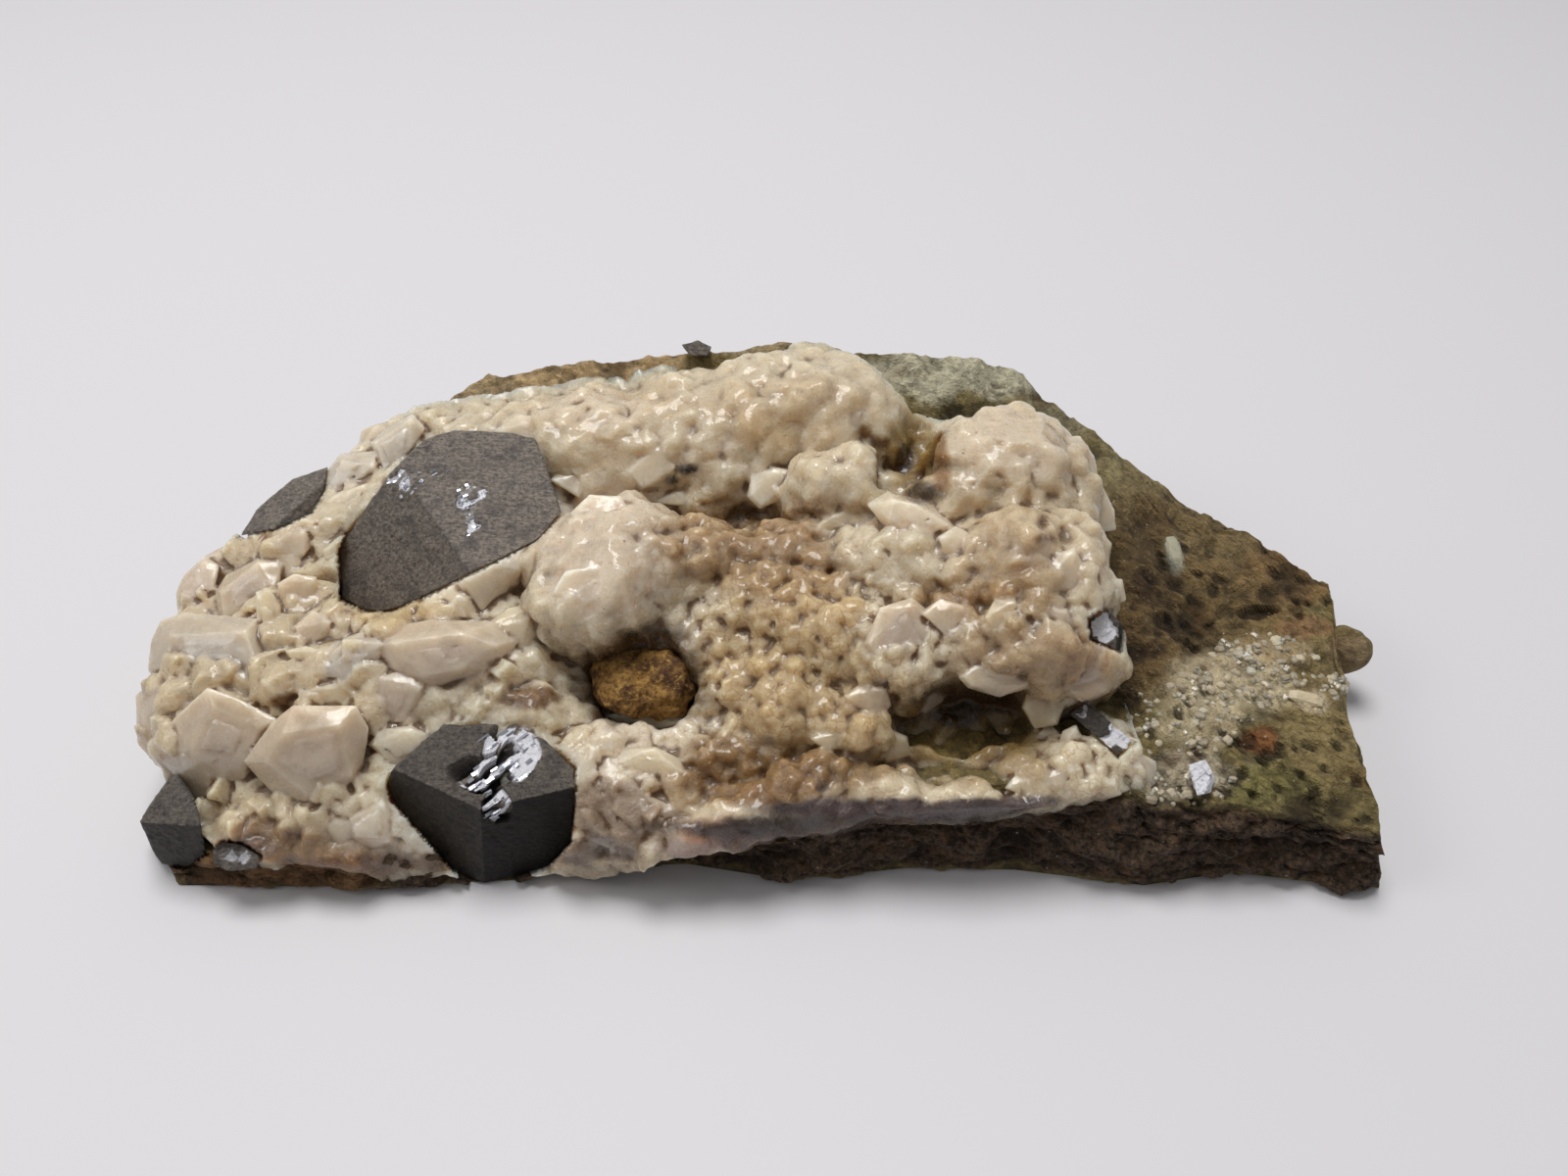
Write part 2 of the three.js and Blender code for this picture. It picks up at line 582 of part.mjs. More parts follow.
// The convex block on a crystal's outline, laid on a plane at the crust, on the same outline
// drawn in at its buried back, and on its top's corners, raised towards the viewer.
function milkyCrystal([outline, top, [azimuth, elevation, deep]]) {
  const eye = new THREE.Vector3(...EYE);
  const middle = [0, 1].map((k) => outline.reduce((sum, p) => sum + p[k], 0) / outline.length);
  const drawnIn = (share) =>
    outline.map((place) => place.map((value, k) => middle[k] + share * (value - middle[k])));
  const out = new THREE.Vector3(0, 0, 1).applyQuaternion(facing(azimuth, elevation, 0));
  const levels = [middle, ...drawnIn(SEAT_SHARE)].map((place) => onCrust(...place).dot(out));
  const mean = levels.reduce((sum, level) => sum + level) / levels.length;
  const level = THREE.MathUtils.lerp(mean, Math.max(...levels), HIGHEST_SHARE);
  const raised = THREE.MathUtils.clamp(level - levels[0], ...SEAT_OFF);
  const seat = onCrust(...middle).addScaledVector(out, raised);
  const sight = seat.clone().sub(eye).normalize();
  const behind = seat.clone().addScaledVector(sight, deep);
  const corners = Array.isArray(top)
    ? top
    : drawnIn(TOP_SHARE).filter((_, i) => i % 2 === 0).map((place) => [...place, top]);
  const points = [
    ...outline.map(([px, py]) => onPlane(px, py, out, seat)),
    ...drawnIn(BACK_SHARE).map(([px, py]) => onPlane(px, py, sight, behind)),
    ...corners.map(([px, py, rise]) => {
      const p = onPlane(px, py, out, seat);
      return p.addScaledVector(p.clone().sub(eye).normalize(), -rise);
    }),
  ];
  points.forEach((p) => {
    p.x = Math.max(p.x, LEFT_END);
    p.z = Math.max(p.z, CLEAR_OF_BASE);
  });
  return solidOf(new ConvexGeometry(points));
}

// Galena crystals with their faces as they show: the outline seen, the flat faces towards the
// viewer as [pixel x, pixel y, height, azimuth, elevation], and how deep the crystal is seated.
const GALENA = {
  galena_large: {
    outline: [
      [349, 612], [347, 562], [352, 549], [400, 482], [432, 450], [462, 440], [520, 442],
      [546, 448], [562, 490], [573, 524], [545, 552], [500, 575], [450, 600], [400, 622],
      [375, 623],
    ],
    faces: [
      [440, 525, 17.2, 12, 70],
      [440, 525, 17.2, -38, 36],
      [561, 500, 18.4, 55, 40],
    ],
    deep: 12,
  },
  galena_front: {
    outline: [
      [396, 800], [400, 785], [440, 750], [452, 739], [535, 740], [565, 763], [586, 784],
      [586, 808], [582, 858], [553, 888], [510, 903], [486, 906], [466, 890], [400, 815],
    ],
    faces: [
      [490, 826, 8.4, 4, 72],
      [490, 826, 8.4, 14, 2],
      [490, 826, 8.4, -22, 6],
    ],
    deep: 10,
  },
  galena_corner: {
    outline: [
      [144, 838], [160, 812], [174, 793], [182, 791], [202, 820], [206, 846], [212, 870],
      [188, 885], [165, 881], [156, 868],
    ],
    faces: [
      [170, 841, 6.2, -25, 52],
      [170, 841, 6.2, -12, 3],
    ],
    deep: 6,
  },
  galena_chip: {
    outline: [
      [218, 868], [227, 859], [248, 862], [266, 874], [262, 886], [232, 888], [220, 882],
    ],
    faces: [
      [236, 872, 4.6, -5, 50],
    ],
    deep: 2.2,
  },
  galena_rim: {
    outline: [
      [246, 546], [262, 520], [298, 490], [334, 477], [330, 500], [318, 522], [280, 540],
    ],
    faces: [
      [300, 508, 13.6, -35, 66],
      [318, 512, 13.5, 20, 40],
    ],
    deep: 3.6,
  },
  galena_cleaved: {
    outline: [
      [1112, 632], [1130, 622], [1146, 640], [1142, 664], [1114, 652],
    ],
    faces: [
      [1130, 640, 15.6, 20, 55],
      [1140, 650, 15.2, 70, 10],
    ],
    deep: 3,
  },
  galena_bar: {
    outline: [
      [1091, 728], [1108, 717], [1157, 757], [1141, 771],
    ],
    faces: [
      [1124, 743, 10.4, 0, 56],
    ],
    deep: 3,
  },
  galena_bead: {
    outline: [
      [1212, 780], [1230, 775], [1241, 795], [1236, 809], [1221, 812],
    ],
    faces: [
      [1226, 793, 9.2, -20, 70],
      [1234, 800, 9.0, 50, 30],
    ],
    deep: 2.4,
  },
  galena_top: {
    outline: [
      [697, 352], [712, 348], [726, 354], [722, 363], [704, 363],
    ],
    faces: [
      [711, 357, 21.4, 10, 55],
    ],
    deep: 2.4,
  },
};
const NEAR = 50; // distances from the viewpoint between which an outline is swept
const FAR = 130;

// The solid behind an outline seen, bounded in front by flat faces and behind by a plane square
// to the line of sight. grow moves every side outwards; an open one has no front faces.
function facedCrystal({ outline, faces, deep }, grow = 0, open = false) {
  const eye = new THREE.Vector3(...EYE);
  const count = outline.length;
  const mean = [0, 1].map((k) => outline.reduce((sum, p) => sum + p[k], 0) / count);
  const points = outline.flatMap(([px, py]) => {
    const [dx, dy] = [px - mean[0], py - mean[1]];
    const wider = 1 + (grow * PIXELS_PER_MM) / Math.hypot(dx, dy);
    const way = seen(mean[0] + dx * wider, mean[1] + dy * wider, 0).sub(eye).normalize();
    return [NEAR, FAR].map((far) => eye.clone().addScaledVector(way, far));
  });
  let solid = solidOf(new ConvexGeometry(points));
  for (const [px, py, z, azimuth, elevation] of open ? [] : faces) {
    const out = new THREE.Vector3(0, 0, 1).applyQuaternion(facing(azimuth, elevation, 0));
    const offset = out.dot(seen(px, py, z)) + grow;
    solid = solid.trimByPlane(out.clone().negate().toArray(), -offset);
  }
  const centre = seen(...faces[0].slice(0, 3));
  const sight = centre.clone().sub(eye).normalize();
  return solid
    .trimByPlane(sight.clone().negate().toArray(), -(sight.dot(centre) + deep + grow))
    .trimByPlane([0, 0, 1], open ? -1 : CLEAR_OF_BASE);
}

// The broken hollow in the front crystal: cleavage steps along its own three faces, each a box
// cut from the corner seen, [pixel x, pixel y, height, half sizes].
const CLEAVAGE_STEPS = [
  [500, 778, 9.6, 2.6, 2.2, 1.2],
  [478, 812, 8.8, 1.5, 1.5, 1.6],
  [520, 752, 10.2, 1.9, 1.8, 0.8],
];

function cleavageCut() {
  const turn = facing(...GALENA.galena_front.faces[0].slice(3), 45);
  const cuts = CLEAVAGE_STEPS.map(([px, py, z, a, b, c]) =>
    turnedBox(seen(px, py, z), [a, b, c], turn),
  );
  return cuts.reduce((sum, cut) => sum.add(cut));
}

// The rounded iron-stained lump in the crust's deepest hollow.
const OCHRE_LUMP = { at: [657, 688, 10.4], half: [4.5, 2.9, 2.3], sink: 1.6 };
const OCHRE_ROUGH = 0.1; // share of its size

function ochreSolid(grow = 0) {
  const lump = new THREE.SphereGeometry(1, 14, 9);
  const points = lump.attributes.position;
  const p = new THREE.Vector3();
  for (let i = 0; i < points.count; i++) {
    p.fromBufferAttribute(points, i);
    p.multiplyScalar(1 + OCHRE_ROUGH * rough(p.clone().multiplyScalar(4), 5));
    points.setXYZ(i, p.x, p.y, p.z);
  }
  lump.scale(...OCHRE_LUMP.half.map((h) => h + grow));
  lump.rotateX(CRUST_LEAN);
  const centre = seen(...OCHRE_LUMP.at).addScaledVector(W, -OCHRE_LUMP.sink);
  lump.translate(...centre.toArray());
  return solidOf(lump);
}

// Materials.
const rockMaterial = new THREE.MeshStandardMaterial({ color: 0x6b5f44, roughness: 0.85 });
const crustMaterial = new THREE.MeshStandardMaterial({ color: 0xd8cbb4, roughness: 0.45 });
const ochreMaterial = new THREE.MeshStandardMaterial({ color: 0x8a6426, roughness: 0.7 });
const galenaMaterial = new THREE.MeshStandardMaterial({
  color: 0x55555a,
  roughness: 0.4,
  metalness: 0.8,
});

// Everything in its place: galena is cut out of the crust and the rock, the rock out of the
// crust, each with the gap that neighbours keep.
let rock = rockSolid().add(knobSolid());
let crust = MILKY_CRYSTALS.reduce(
  (grown, crystal) => grown.add(milkyCrystal(crystal)),
  crustSolid(),
);
crust = crust.subtract(rockSolid(GAP));
const ochre = ochreSolid();
crust = crust.subtract(ochreSolid(GAP));
rock = rock.subtract(ochreSolid(GAP));
const crystals = [];
for (const [name, crystal] of Object.entries(GALENA)) {
  const room = facedCrystal(crystal, GAP, true);
  crust = crust.subtract(room);
  rock = rock.subtract(room);
  let body = facedCrystal(crystal);
  if (name === 'galena_front') body = body.subtract(cleavageCut());
  crystals.push(meshOf(name, body, galenaMaterial));
}

const specimen = new THREE.Group();
specimen.add(meshOf('vein_rock', rock, rockMaterial));
specimen.add(meshOf('milky_crust', crust, crustMaterial));
specimen.add(meshOf('ochre_lump', ochre, ochreMaterial));
specimen.add(...crystals);

export default specimen;
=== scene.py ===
"""A galena specimen: a broken slab of vein rock, a crust of milky crystals over its top and
front, and galena crystals seated in the crust. Shapes are worked out in millimetres, with +X to
the right of the display side, +Y to the back and +Z up, and go into the meshes in metres."""

import bmesh
import bpy
import numpy as np
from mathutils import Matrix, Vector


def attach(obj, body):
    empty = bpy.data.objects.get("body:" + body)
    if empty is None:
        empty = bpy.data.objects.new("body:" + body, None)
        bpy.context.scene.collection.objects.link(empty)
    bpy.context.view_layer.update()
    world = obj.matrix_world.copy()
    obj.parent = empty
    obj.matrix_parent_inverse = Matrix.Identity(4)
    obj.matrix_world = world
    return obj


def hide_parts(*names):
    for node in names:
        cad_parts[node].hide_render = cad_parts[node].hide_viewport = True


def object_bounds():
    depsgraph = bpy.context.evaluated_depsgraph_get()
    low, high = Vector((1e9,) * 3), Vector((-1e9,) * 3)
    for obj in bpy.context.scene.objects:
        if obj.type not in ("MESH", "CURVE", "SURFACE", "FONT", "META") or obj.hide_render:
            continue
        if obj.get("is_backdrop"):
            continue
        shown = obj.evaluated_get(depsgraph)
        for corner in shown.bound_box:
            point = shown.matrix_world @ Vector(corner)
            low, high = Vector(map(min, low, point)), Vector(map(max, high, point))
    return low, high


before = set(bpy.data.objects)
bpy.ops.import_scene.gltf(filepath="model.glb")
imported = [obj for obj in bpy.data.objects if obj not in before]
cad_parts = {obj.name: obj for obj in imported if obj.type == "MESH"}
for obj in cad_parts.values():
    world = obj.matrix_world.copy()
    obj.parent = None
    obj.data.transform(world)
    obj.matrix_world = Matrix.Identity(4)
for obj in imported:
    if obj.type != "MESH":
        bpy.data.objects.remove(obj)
cad_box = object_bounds()


# Viewpoint. The specimen is looked down on from the front. Outlines and patches are laid out
# from here, as places in a picture 1600 wide and 1200 high.
EYE = np.array([0.1, -70.3, 77.5])
DOWN = np.radians(44)  # how far below level it looks
FOCAL = 1270  # in pixels
MIDDLE = (800, 600)  # the picture's middle, in pixels
FILM_WIDTH = 36
MM = 0.001

AHEAD = np.array([0, np.cos(DOWN), -np.sin(DOWN)])
OVER = np.array([0, np.sin(DOWN), np.cos(DOWN)])


def seen(px, py, z):
    """The point seen at a pixel, z above the base: the eye plus as much of the pixel's ray as
    brings it down to z."""
    right = (np.asarray(px, float) - MIDDLE[0]) / FOCAL
    up = (MIDDLE[1] - np.asarray(py, float)) / FOCAL
    ray = AHEAD + right[..., None] * np.array([1, 0, 0]) + up[..., None] * OVER
    return EYE + ray * ((z - EYE[2]) / ray[..., 2])[..., None]


def shown(points):
    """The pixel at which each point is seen: its offsets right and up, over its distance."""
    away = points - EYE
    far = away @ AHEAD
    return MIDDLE[0] + FOCAL * away[..., 0] / far, MIDDLE[1] - FOCAL * (away @ OVER) / far


def in_scene(name, data):
    """A new object with the given data, put in the scene."""
    made = bpy.data.objects.new(name, data)
    bpy.context.scene.collection.objects.link(made)
    return made


camera_data = bpy.data.cameras.new("viewpoint")
camera_data.sensor_width = FILM_WIDTH
camera_data.lens = FILM_WIDTH * FOCAL / (2 * MIDDLE[0])
camera_data.clip_start = MM
camera = in_scene("viewpoint", camera_data)
camera.location = EYE * MM
camera.rotation_euler = (np.pi / 2 - DOWN, 0, 0)
bpy.context.scene.camera = camera


# Galena. Lead-grey crystals of the cubic system, their faces dulled by a pitted patina, with
# stepped cleavage that still shines where a crystal is broken. That shine is painted in as
# near-white glints, and faces turned from the light are painted near black as shade.
# Each has its outline in the view, front faces as (pixel x, pixel y, height there, azimuth,
# elevation), how deep it reaches, its mesh's steps, and how dark each front face is painted:
# painted shade, by how the face is turned from the light.
GALENA = {
    "galena_large": {
        "outline": [
            (349, 612), (347, 562), (352, 549), (400, 482), (432, 450), (462, 440), (520, 442),
            (546, 448), (562, 490), (573, 524), (545, 552), (500, 575), (450, 600), (400, 622),
            (375, 623),
        ],
        "faces": [
            (440, 525, 17.2, 12, 70),
            (440, 525, 17.2, -38, 36),
            (561, 500, 18.4, 55, 40),
        ],
        "deep": 12,
        "steps": 84,
        "painted_shades": (0.0, 0.22, 0.0),
    },
    "galena_front": {
        "outline": [
            (396, 800), (400, 785), (440, 750), (452, 739), (535, 740), (565, 763), (586, 784),
            (586, 808), (582, 858), (553, 888), (510, 903), (486, 906), (466, 890), (400, 815),
        ],
        "faces": [
            (490, 826, 8.4, 4, 72),
            (490, 826, 8.4, 14, 2),
            (490, 826, 8.4, -22, 6),
        ],
        "deep": 10,
        "steps": 110,
        "painted_shades": (0.45, 1.0, 0.85),
    },
    "galena_corner": {
        "outline": [
            (144, 838), (160, 812), (174, 793), (182, 791), (202, 820), (206, 846), (212, 870),
            (188, 885), (165, 881), (156, 868),
        ],
        "faces": [
            (170, 841, 6.2, -25, 52),
            (170, 841, 6.2, -12, 3),
        ],
        "deep": 6,
        "steps": 36,
        "painted_shades": (0.4, 0.86),
    },
    "galena_chip": {
        "outline": [
            (218, 868), (227, 859), (248, 862), (266, 874), (262, 886), (232, 888), (220, 882),
        ],
        "faces": [(236, 872, 4.6, -5, 50)],
        "deep": 2.2,
        "steps": 24,
        "painted_shades": (0.45,),
    },
    "galena_rim": {
        "outline": [
            (246, 546), (262, 520), (298, 490), (334, 477), (330, 500), (318, 522), (280, 540),
        ],
        "faces": [
            (300, 508, 13.6, -35, 66),
            (318, 512, 13.5, 20, 40),
        ],
        "deep": 3.6,
        "steps": 30,
        "painted_shades": (0.1, 0.4),
    },
    "galena_cleaved": {
        "outline": [(1112, 632), (1130, 622), (1146, 640), (1142, 664), (1114, 652)],
        "faces": [
            (1130, 640, 15.6, 20, 55),
            (1140, 650, 15.2, 70, 10),
        ],
        "deep": 3,
        "steps": 30,
        "painted_shades": (0.6, 0.9),
    },
    "galena_bar": {
        "outline": [(1091, 728), (1108, 717), (1157, 757), (1141, 771)],
        "faces": [(1124, 743, 10.4, 0, 56)],
        "deep": 3,
        "steps": 30,
        "painted_shades": (0.7,),
    },
    "galena_bead": {
        "outline": [(1212, 780), (1230, 775), (1241, 795), (1236, 809), (1221, 812)],
        "faces": [
            (1226, 793, 9.2, -20, 70),
            (1234, 800, 9.0, 50, 30),
        ],
        "deep": 2.4,
        "steps": 30,
        "painted_shades": (0.0, 0.7),
    },
    "galena_top": {
        "outline": [(697, 352), (712, 348), (726, 354), (722, 363), (704, 363)],
        "faces": [(711, 357, 21.4, 10, 55)],
        "deep": 2.4,
        "steps": 16,
        "painted_shades": (0.3,),
    },
}
GALENA_SHARP = 140  # the power that makes the edges between faces crisp
GALENA_DEPTH_SHARE = 0.4  # how far back in its depth a crystal's middle lies
GALENA_LEAST = 0.3  # lowest height of any point
# Unevenness is given as clouds: [height, size, seed]
GALENA_UNEVEN = [[0.08, 1.4, 111], [0.06, 0.5, 112], [0.05, 0.25, 119]]
STEP_SIZE = (0.5, 0.9, 0.34)  # cleavage steps along FRONT_AXES
STEP_DEPTH = 0.24
STEP_DULL = 0.25  # how much the low steps lose of their shine
STEP_DULL_LARGE = 0.45  # the same on the large crystal
# Where fresh cleavage is painted with a bright glint: [pixel x, pixel y, half width, half height, strength]
GALENA_SHINE = [
    [410, 492, 22, 11, 0.8],
    [478, 508, 15, 14, 0.8],
    [480, 532, 9, 18, 0.8],
    [436, 482, 24, 8, 0.4],
    [240, 872, 18, 9, 0.55],
    [1122, 640, 17, 22, 1.0],
    [1106, 724, 13, 7, 0.6],
    [1140, 754, 24, 18, 1.0],
    [1226, 793, 40, 40, 1.0],
]
SHINE_WANDER = ([[9, 0.8, 115], [5, 0.35, 116]], [[9, 0.8, 117], [5, 0.35, 118]])
# The broken hollow of the front crystal: [pixel x, pixel y, half width, half height]
HOLLOW = [
    [524, 768, 32, 32],
    [486, 790, 34, 20],
    [508, 820, 15, 20],
]
PLATE_TILT = np.radians(38)  # how its cleavage plates rise to the right in the view
PLATE = (26, 5.5)  # a plate's length and breadth, in pixels
PLATE_RISE = (505, 25, 0.2)  # from which pixel x, over how many pixels and how far they stand out
HOLLOW_WANDER = ([[5, 0.9, 121]], [[5, 0.9, 122]])
HOLLOW_DEPTH = (0.35, 1.1)  # everywhere, and more between plates
DARK_LEFT = (500, 462, 0.5)  # the front crystal's left corner darkens between these pixels x


def paint(red, green, blue):
    """A colour given as it looks, 0 to 255, as the light it gives back."""
    return (np.array([red, green, blue]) / 255) ** 2.2


def smooth(value, start, end):
    """0 before start and 1 after end, with a soft rise between them."""
    t = np.clip((value - start) / (end - start), 0, 1)
    return t * t * (3 - 2 * t)


def lot(cell, seed):
    """A number between 0 and 1 for each whole-numbered cell: its coordinates and the seed, mixed
    by odd multipliers and shifts."""
    c = cell.astype(np.int64)
    mix = (c[..., 0] * 73856093) ^ (c[..., 1] * 19349663) ^ (c[..., 2] * 83492791)
    mix = (mix ^ (seed * 40503 + 977)) & 0xFFFFFFFF
    for _ in range(2):
        mix = ((mix ^ (mix >> 16)) * 0x45D9F3B) & 0xFFFFFFFF
    return (mix ^ (mix >> 16)) / 0xFFFFFFFF


def cloud(points, size, seed):
    """Soft unevenness, -1 to 1: a lot on each corner of cubes of a size, blended with a smooth
    step along x, y and z."""
    place = points / size
    low = np.floor(place)
    t = place - low
    t = t * t * (3 - 2 * t)
    total = 0
    for corner in np.ndindex(2, 2, 2):
        weight = np.prod(np.where(corner, t, 1 - t), axis=-1)
        total = total + weight * lot(low + corner, seed)
    return 2 * total - 1


def clouds(points, rows, start=0):
    """Clouds added to a start, one after the other: rows of height, size and seed."""
    for height, size, seed in rows:
        start = start + height * cloud(points, size, seed)
    return start


def wandered(points, rows):
    """The pixels at which points are seen, pushed right and down by clouds."""
    px, py = shown(points)
    return clouds(points, rows[0], px), clouds(points, rows[1], py)


def oval(px, py, x, y, a, b):
    """1 in the middle of an oval, 0 on its rim and less outside: 1 minus the squares of the
    distances right and down, in half widths and half heights."""
    return 1 - ((px - x) / a) ** 2 - ((py - y) / b) ** 2


def unit(vectors):
    """Vectors of length 1 along the given ones."""
    return vectors / np.linalg.norm(vectors, axis=-1, keepdims=True)


def cube_ways(steps):
    """Directions all round, as the squares of a cube's six sides, and the triangles that join
    them. Points that two sides share are one point."""
    t = np.tan(np.linspace(-1, 1, steps + 1) * np.pi / 4)
    a, b = np.meshgrid(t, t, indexing="ij")
    one = np.ones_like(a)
    sides = []
    for axis in range(3):
        for sign in (1, -1):
            sides.append(np.roll(np.stack([sign * one, a, sign * b], -1), axis, axis=-1))
    grid = np.arange((steps + 1) ** 2).reshape(steps + 1, steps + 1)
    corners = [grid[:-1, :-1], grid[1:, :-1], grid[1:, 1:], grid[:-1, 1:]]
    p, q, r, s = (c.ravel() for c in corners)
    side = np.concatenate([np.stack([p, q, r], -1), np.stack([p, r, s], -1)])
    triangles = np.concatenate([side + k * grid.size for k in range(6)])
    points = np.array(sides).reshape(-1, 3)
    points, merged = np.unique(points.round(6), axis=0, return_inverse=True)
    return unit(points), merged.ravel()[triangles]


def turned_to(azimuth, elevation):
    """The direction at an azimuth from the front, to the right, and an elevation. Degrees."""
    a, e = np.radians(azimuth), np.radians(elevation)
    return np.array([np.sin(a) * np.cos(e), -np.cos(a) * np.cos(e), np.sin(e)])


def axes_of(azimuth, elevation, spin=0):
    """Three directions square to each other, the first at an azimuth and an elevation, and the
    other two turned about it by a spin. Degrees."""
    up = turned_to(azimuth, elevation)
    side = turned_to(azimuth + 90, 0)
    back = np.cross(up, side)
    s = np.radians(spin)
    return np.array([up, np.cos(s) * side + np.sin(s) * back, np.cos(s) * back - np.sin(s) * side])


FRONT_AXES = axes_of(4, 72, 35)


def sight_planes(outline, near_point, deep):
    """The planes that bound a crystal behind its outline: one through the eye and each side of
    the outline, and one square to the line of sight at its back. Normals, and a point on each."""
    rim = np.array(outline, float)
    rays = seen(rim[:, 0], rim[:, 1], 0) - EYE
    normals = unit(np.cross(rays, np.roll(rays, -1, axis=0)))
    sight = unit(near_point - EYE)
    normals *= np.sign(-(normals @ sight))[:, None]
    normals = np.concatenate([normals, [sight]])
    on = np.concatenate([np.broadcast_to(EYE, rim.shape[:1] + (3,)), [near_point + sight * deep]])
    return normals, on


def front_faces(faces):
    """A point on each of a crystal's front faces, and the faces' normals."""
    rows = np.array(faces, float)
    on = seen(rows[:, 0], rows[:, 1], rows[:, 2])
    return on, np.stack([turned_to(*row[3:]) for row in rows])


def reach_of(middle, normals, on):
    """How far planes lie from a middle: each plane's normal, and a point on it."""
    return np.einsum("ij,ij->i", on - middle, normals)


def crystal_skin(ways, middle, normals, on, sharp):
    """Points of a crystal's skin all round its middle. Along each way, the planes' own distances
    are blended so that the nearest rules: the sum of (way . normal / reach) to a high power,
    taken to minus one over that power."""
    facing = np.clip(ways @ normals.T, 0, None) / reach_of(middle, normals, on)
    far = (facing**sharp).sum(-1) ** (-1 / sharp)
    return middle + ways * far[:, None]


def shine_share(points):
    """How freshly cleaved each point is, and so how bright a glint is painted on it, 0 to 1,
    from the table's ovals in the view.
    """
    px, py = wandered(points, SHINE_WANDER)
    share = np.zeros(points.shape[:-1])
    for *place, amount in GALENA_SHINE:
        share = np.maximum(share, amount * smooth(oval(px, py, *place), 0, 0.7))
    return share


def broken_hollow(points):
    """How far the front crystal's hollow reaches over each point, and how far the cleavage plate
    there stands out: a lot for each long narrow cell that rises to the right in the view, larger
    on the right side."""
    px, py = wandered(points, HOLLOW_WANDER)
    inside = [oval(px, py, *place) for place in HOLLOW]
    along = px * np.cos(PLATE_TILT) - py * np.sin(PLATE_TILT)
    row = np.floor((px * np.sin(PLATE_TILT) + py * np.cos(PLATE_TILT)) / PLATE[1])
    start = lot(np.stack([row, row, row], -1), 123)
    plate = lot(np.stack([row, np.floor(along / PLATE[0] + start), row], -1), 124)
    divide, across, rise = PLATE_RISE
    plate = plate + rise * np.clip((px - divide) / across, -1, 1)
    return smooth(np.max(inside, 0), 0, 0.3), plate


def galena_skin(name, outline, faces, deep, steps, painted_shades):
    """A crystal's flat faces in front, its outline's planes around and a plane behind, with
    fine pits and steps. The front crystal's hollow is cut in long cleavage plates. Its marks
    give where fresh cleavage carries a painted glint, and how dark it is painted as shade."""
    ways, triangles = cube_ways(steps)
    on_front, out = front_faces(faces)
    normals, on = sight_planes(outline, on_front[0], deep)
    sight = unit(seen(*np.array(outline, float).mean(0), 0) - EYE)
    reach = ((on_front - EYE) * out).sum(-1) / (out @ sight)
    middle = EYE + sight * (reach.max() + GALENA_DEPTH_SHARE * deep)
    points = crystal_skin(
        ways, middle, np.concatenate([normals, out]), np.concatenate([on, on_front]), GALENA_SHARP
    )
    fresh_and_glint = shine_share(points)
    lift = clouds(points, GALENA_UNEVEN)
    steps_out = lot(np.floor(points @ FRONT_AXES.T / STEP_SIZE), 113)
    lift -= STEP_DEPTH * fresh_and_glint * steps_out
    dulled = STEP_DULL_LARGE if name == "galena_large" else STEP_DULL
    fresh_and_glint *= 1 - dulled * smooth(steps_out, 0.4, 0.3)
    facing = np.clip(ways @ out.T, 0, None) / np.maximum(reach_of(middle, out, on_front), 1e-6)
    # Painted shade: each front face is painted as dark as the table gives, by how it is turned from the
    # light.
    painted_shade = np.array(painted_shades)[facing.argmax(-1)]
    if name == "galena_front":
        start, end, share = DARK_LEFT
        painted_shade = np.maximum(painted_shade, share * smooth(shown(points)[0], start, end))
        hollow, plate = broken_hollow(points)
        lift -= hollow * (HOLLOW_DEPTH[0] + HOLLOW_DEPTH[1] * smooth(plate, 0.6, 0.3))
        # In the hollow, the plates that stand out are painted with a bright glint, the sunk ones near black
        # as shade.
        fresh_and_glint = hollow * smooth(plate, 0.5, 0.62)
        painted_shade = painted_shade + hollow * (smooth(plate, 0.5, 0.38) - painted_shade)
    points = points + ways * lift[:, None]
    points[:, 2] = np.maximum(points[:, 2], GALENA_LEAST)
    return points, triangles, {"fresh_and_glint": fresh_and_glint, "painted_shade": painted_shade}


def new_piece(name, points, triangles, material, tone=None, marks=None, even=False):
    """A mesh piece that rides on the specimen's one body. Its colours and marks are values on
    its points. A surface that comes out inside out is turned round. An even one is shaded
    smooth, with each point's normal the sum of its triangles' normals times their areas."""
    a, b, c = (points[triangles[:, k]] for k in range(3))
    if np.einsum("ij,ij->i", a, np.cross(b, c)).sum() < 0:
        triangles = triangles[:, ::-1]
        a, c = c, a
    mesh = bpy.data.meshes.new(name)
    mesh.from_pydata((points * MM).tolist(), [], triangles.tolist())
    if tone is not None:
        layer = mesh.attributes.new("tone", "FLOAT_COLOR", "POINT")
        layer.data.foreach_set("color", np.c_[tone, np.ones(len(tone))].astype("f").ravel())
    for key, values in (marks or {}).items():
        layer = mesh.attributes.new(key, "FLOAT", "POINT")
        layer.data.foreach_set("value", np.asarray(values, "f"))
    mesh.materials.append(material)
    if even:
        mesh.shade_smooth()
        corners = np.cross(b - a, c - a)[:, None].repeat(3, 1).reshape(-1, 3)
        sums = [np.bincount(triangles.ravel(), column, len(points)) for column in corners.T]
        mesh.normals_split_custom_set_from_vertices(np.stack(sums, -1).tolist())
    piece = in_scene(name, mesh)
    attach(piece, "root")
    return piece


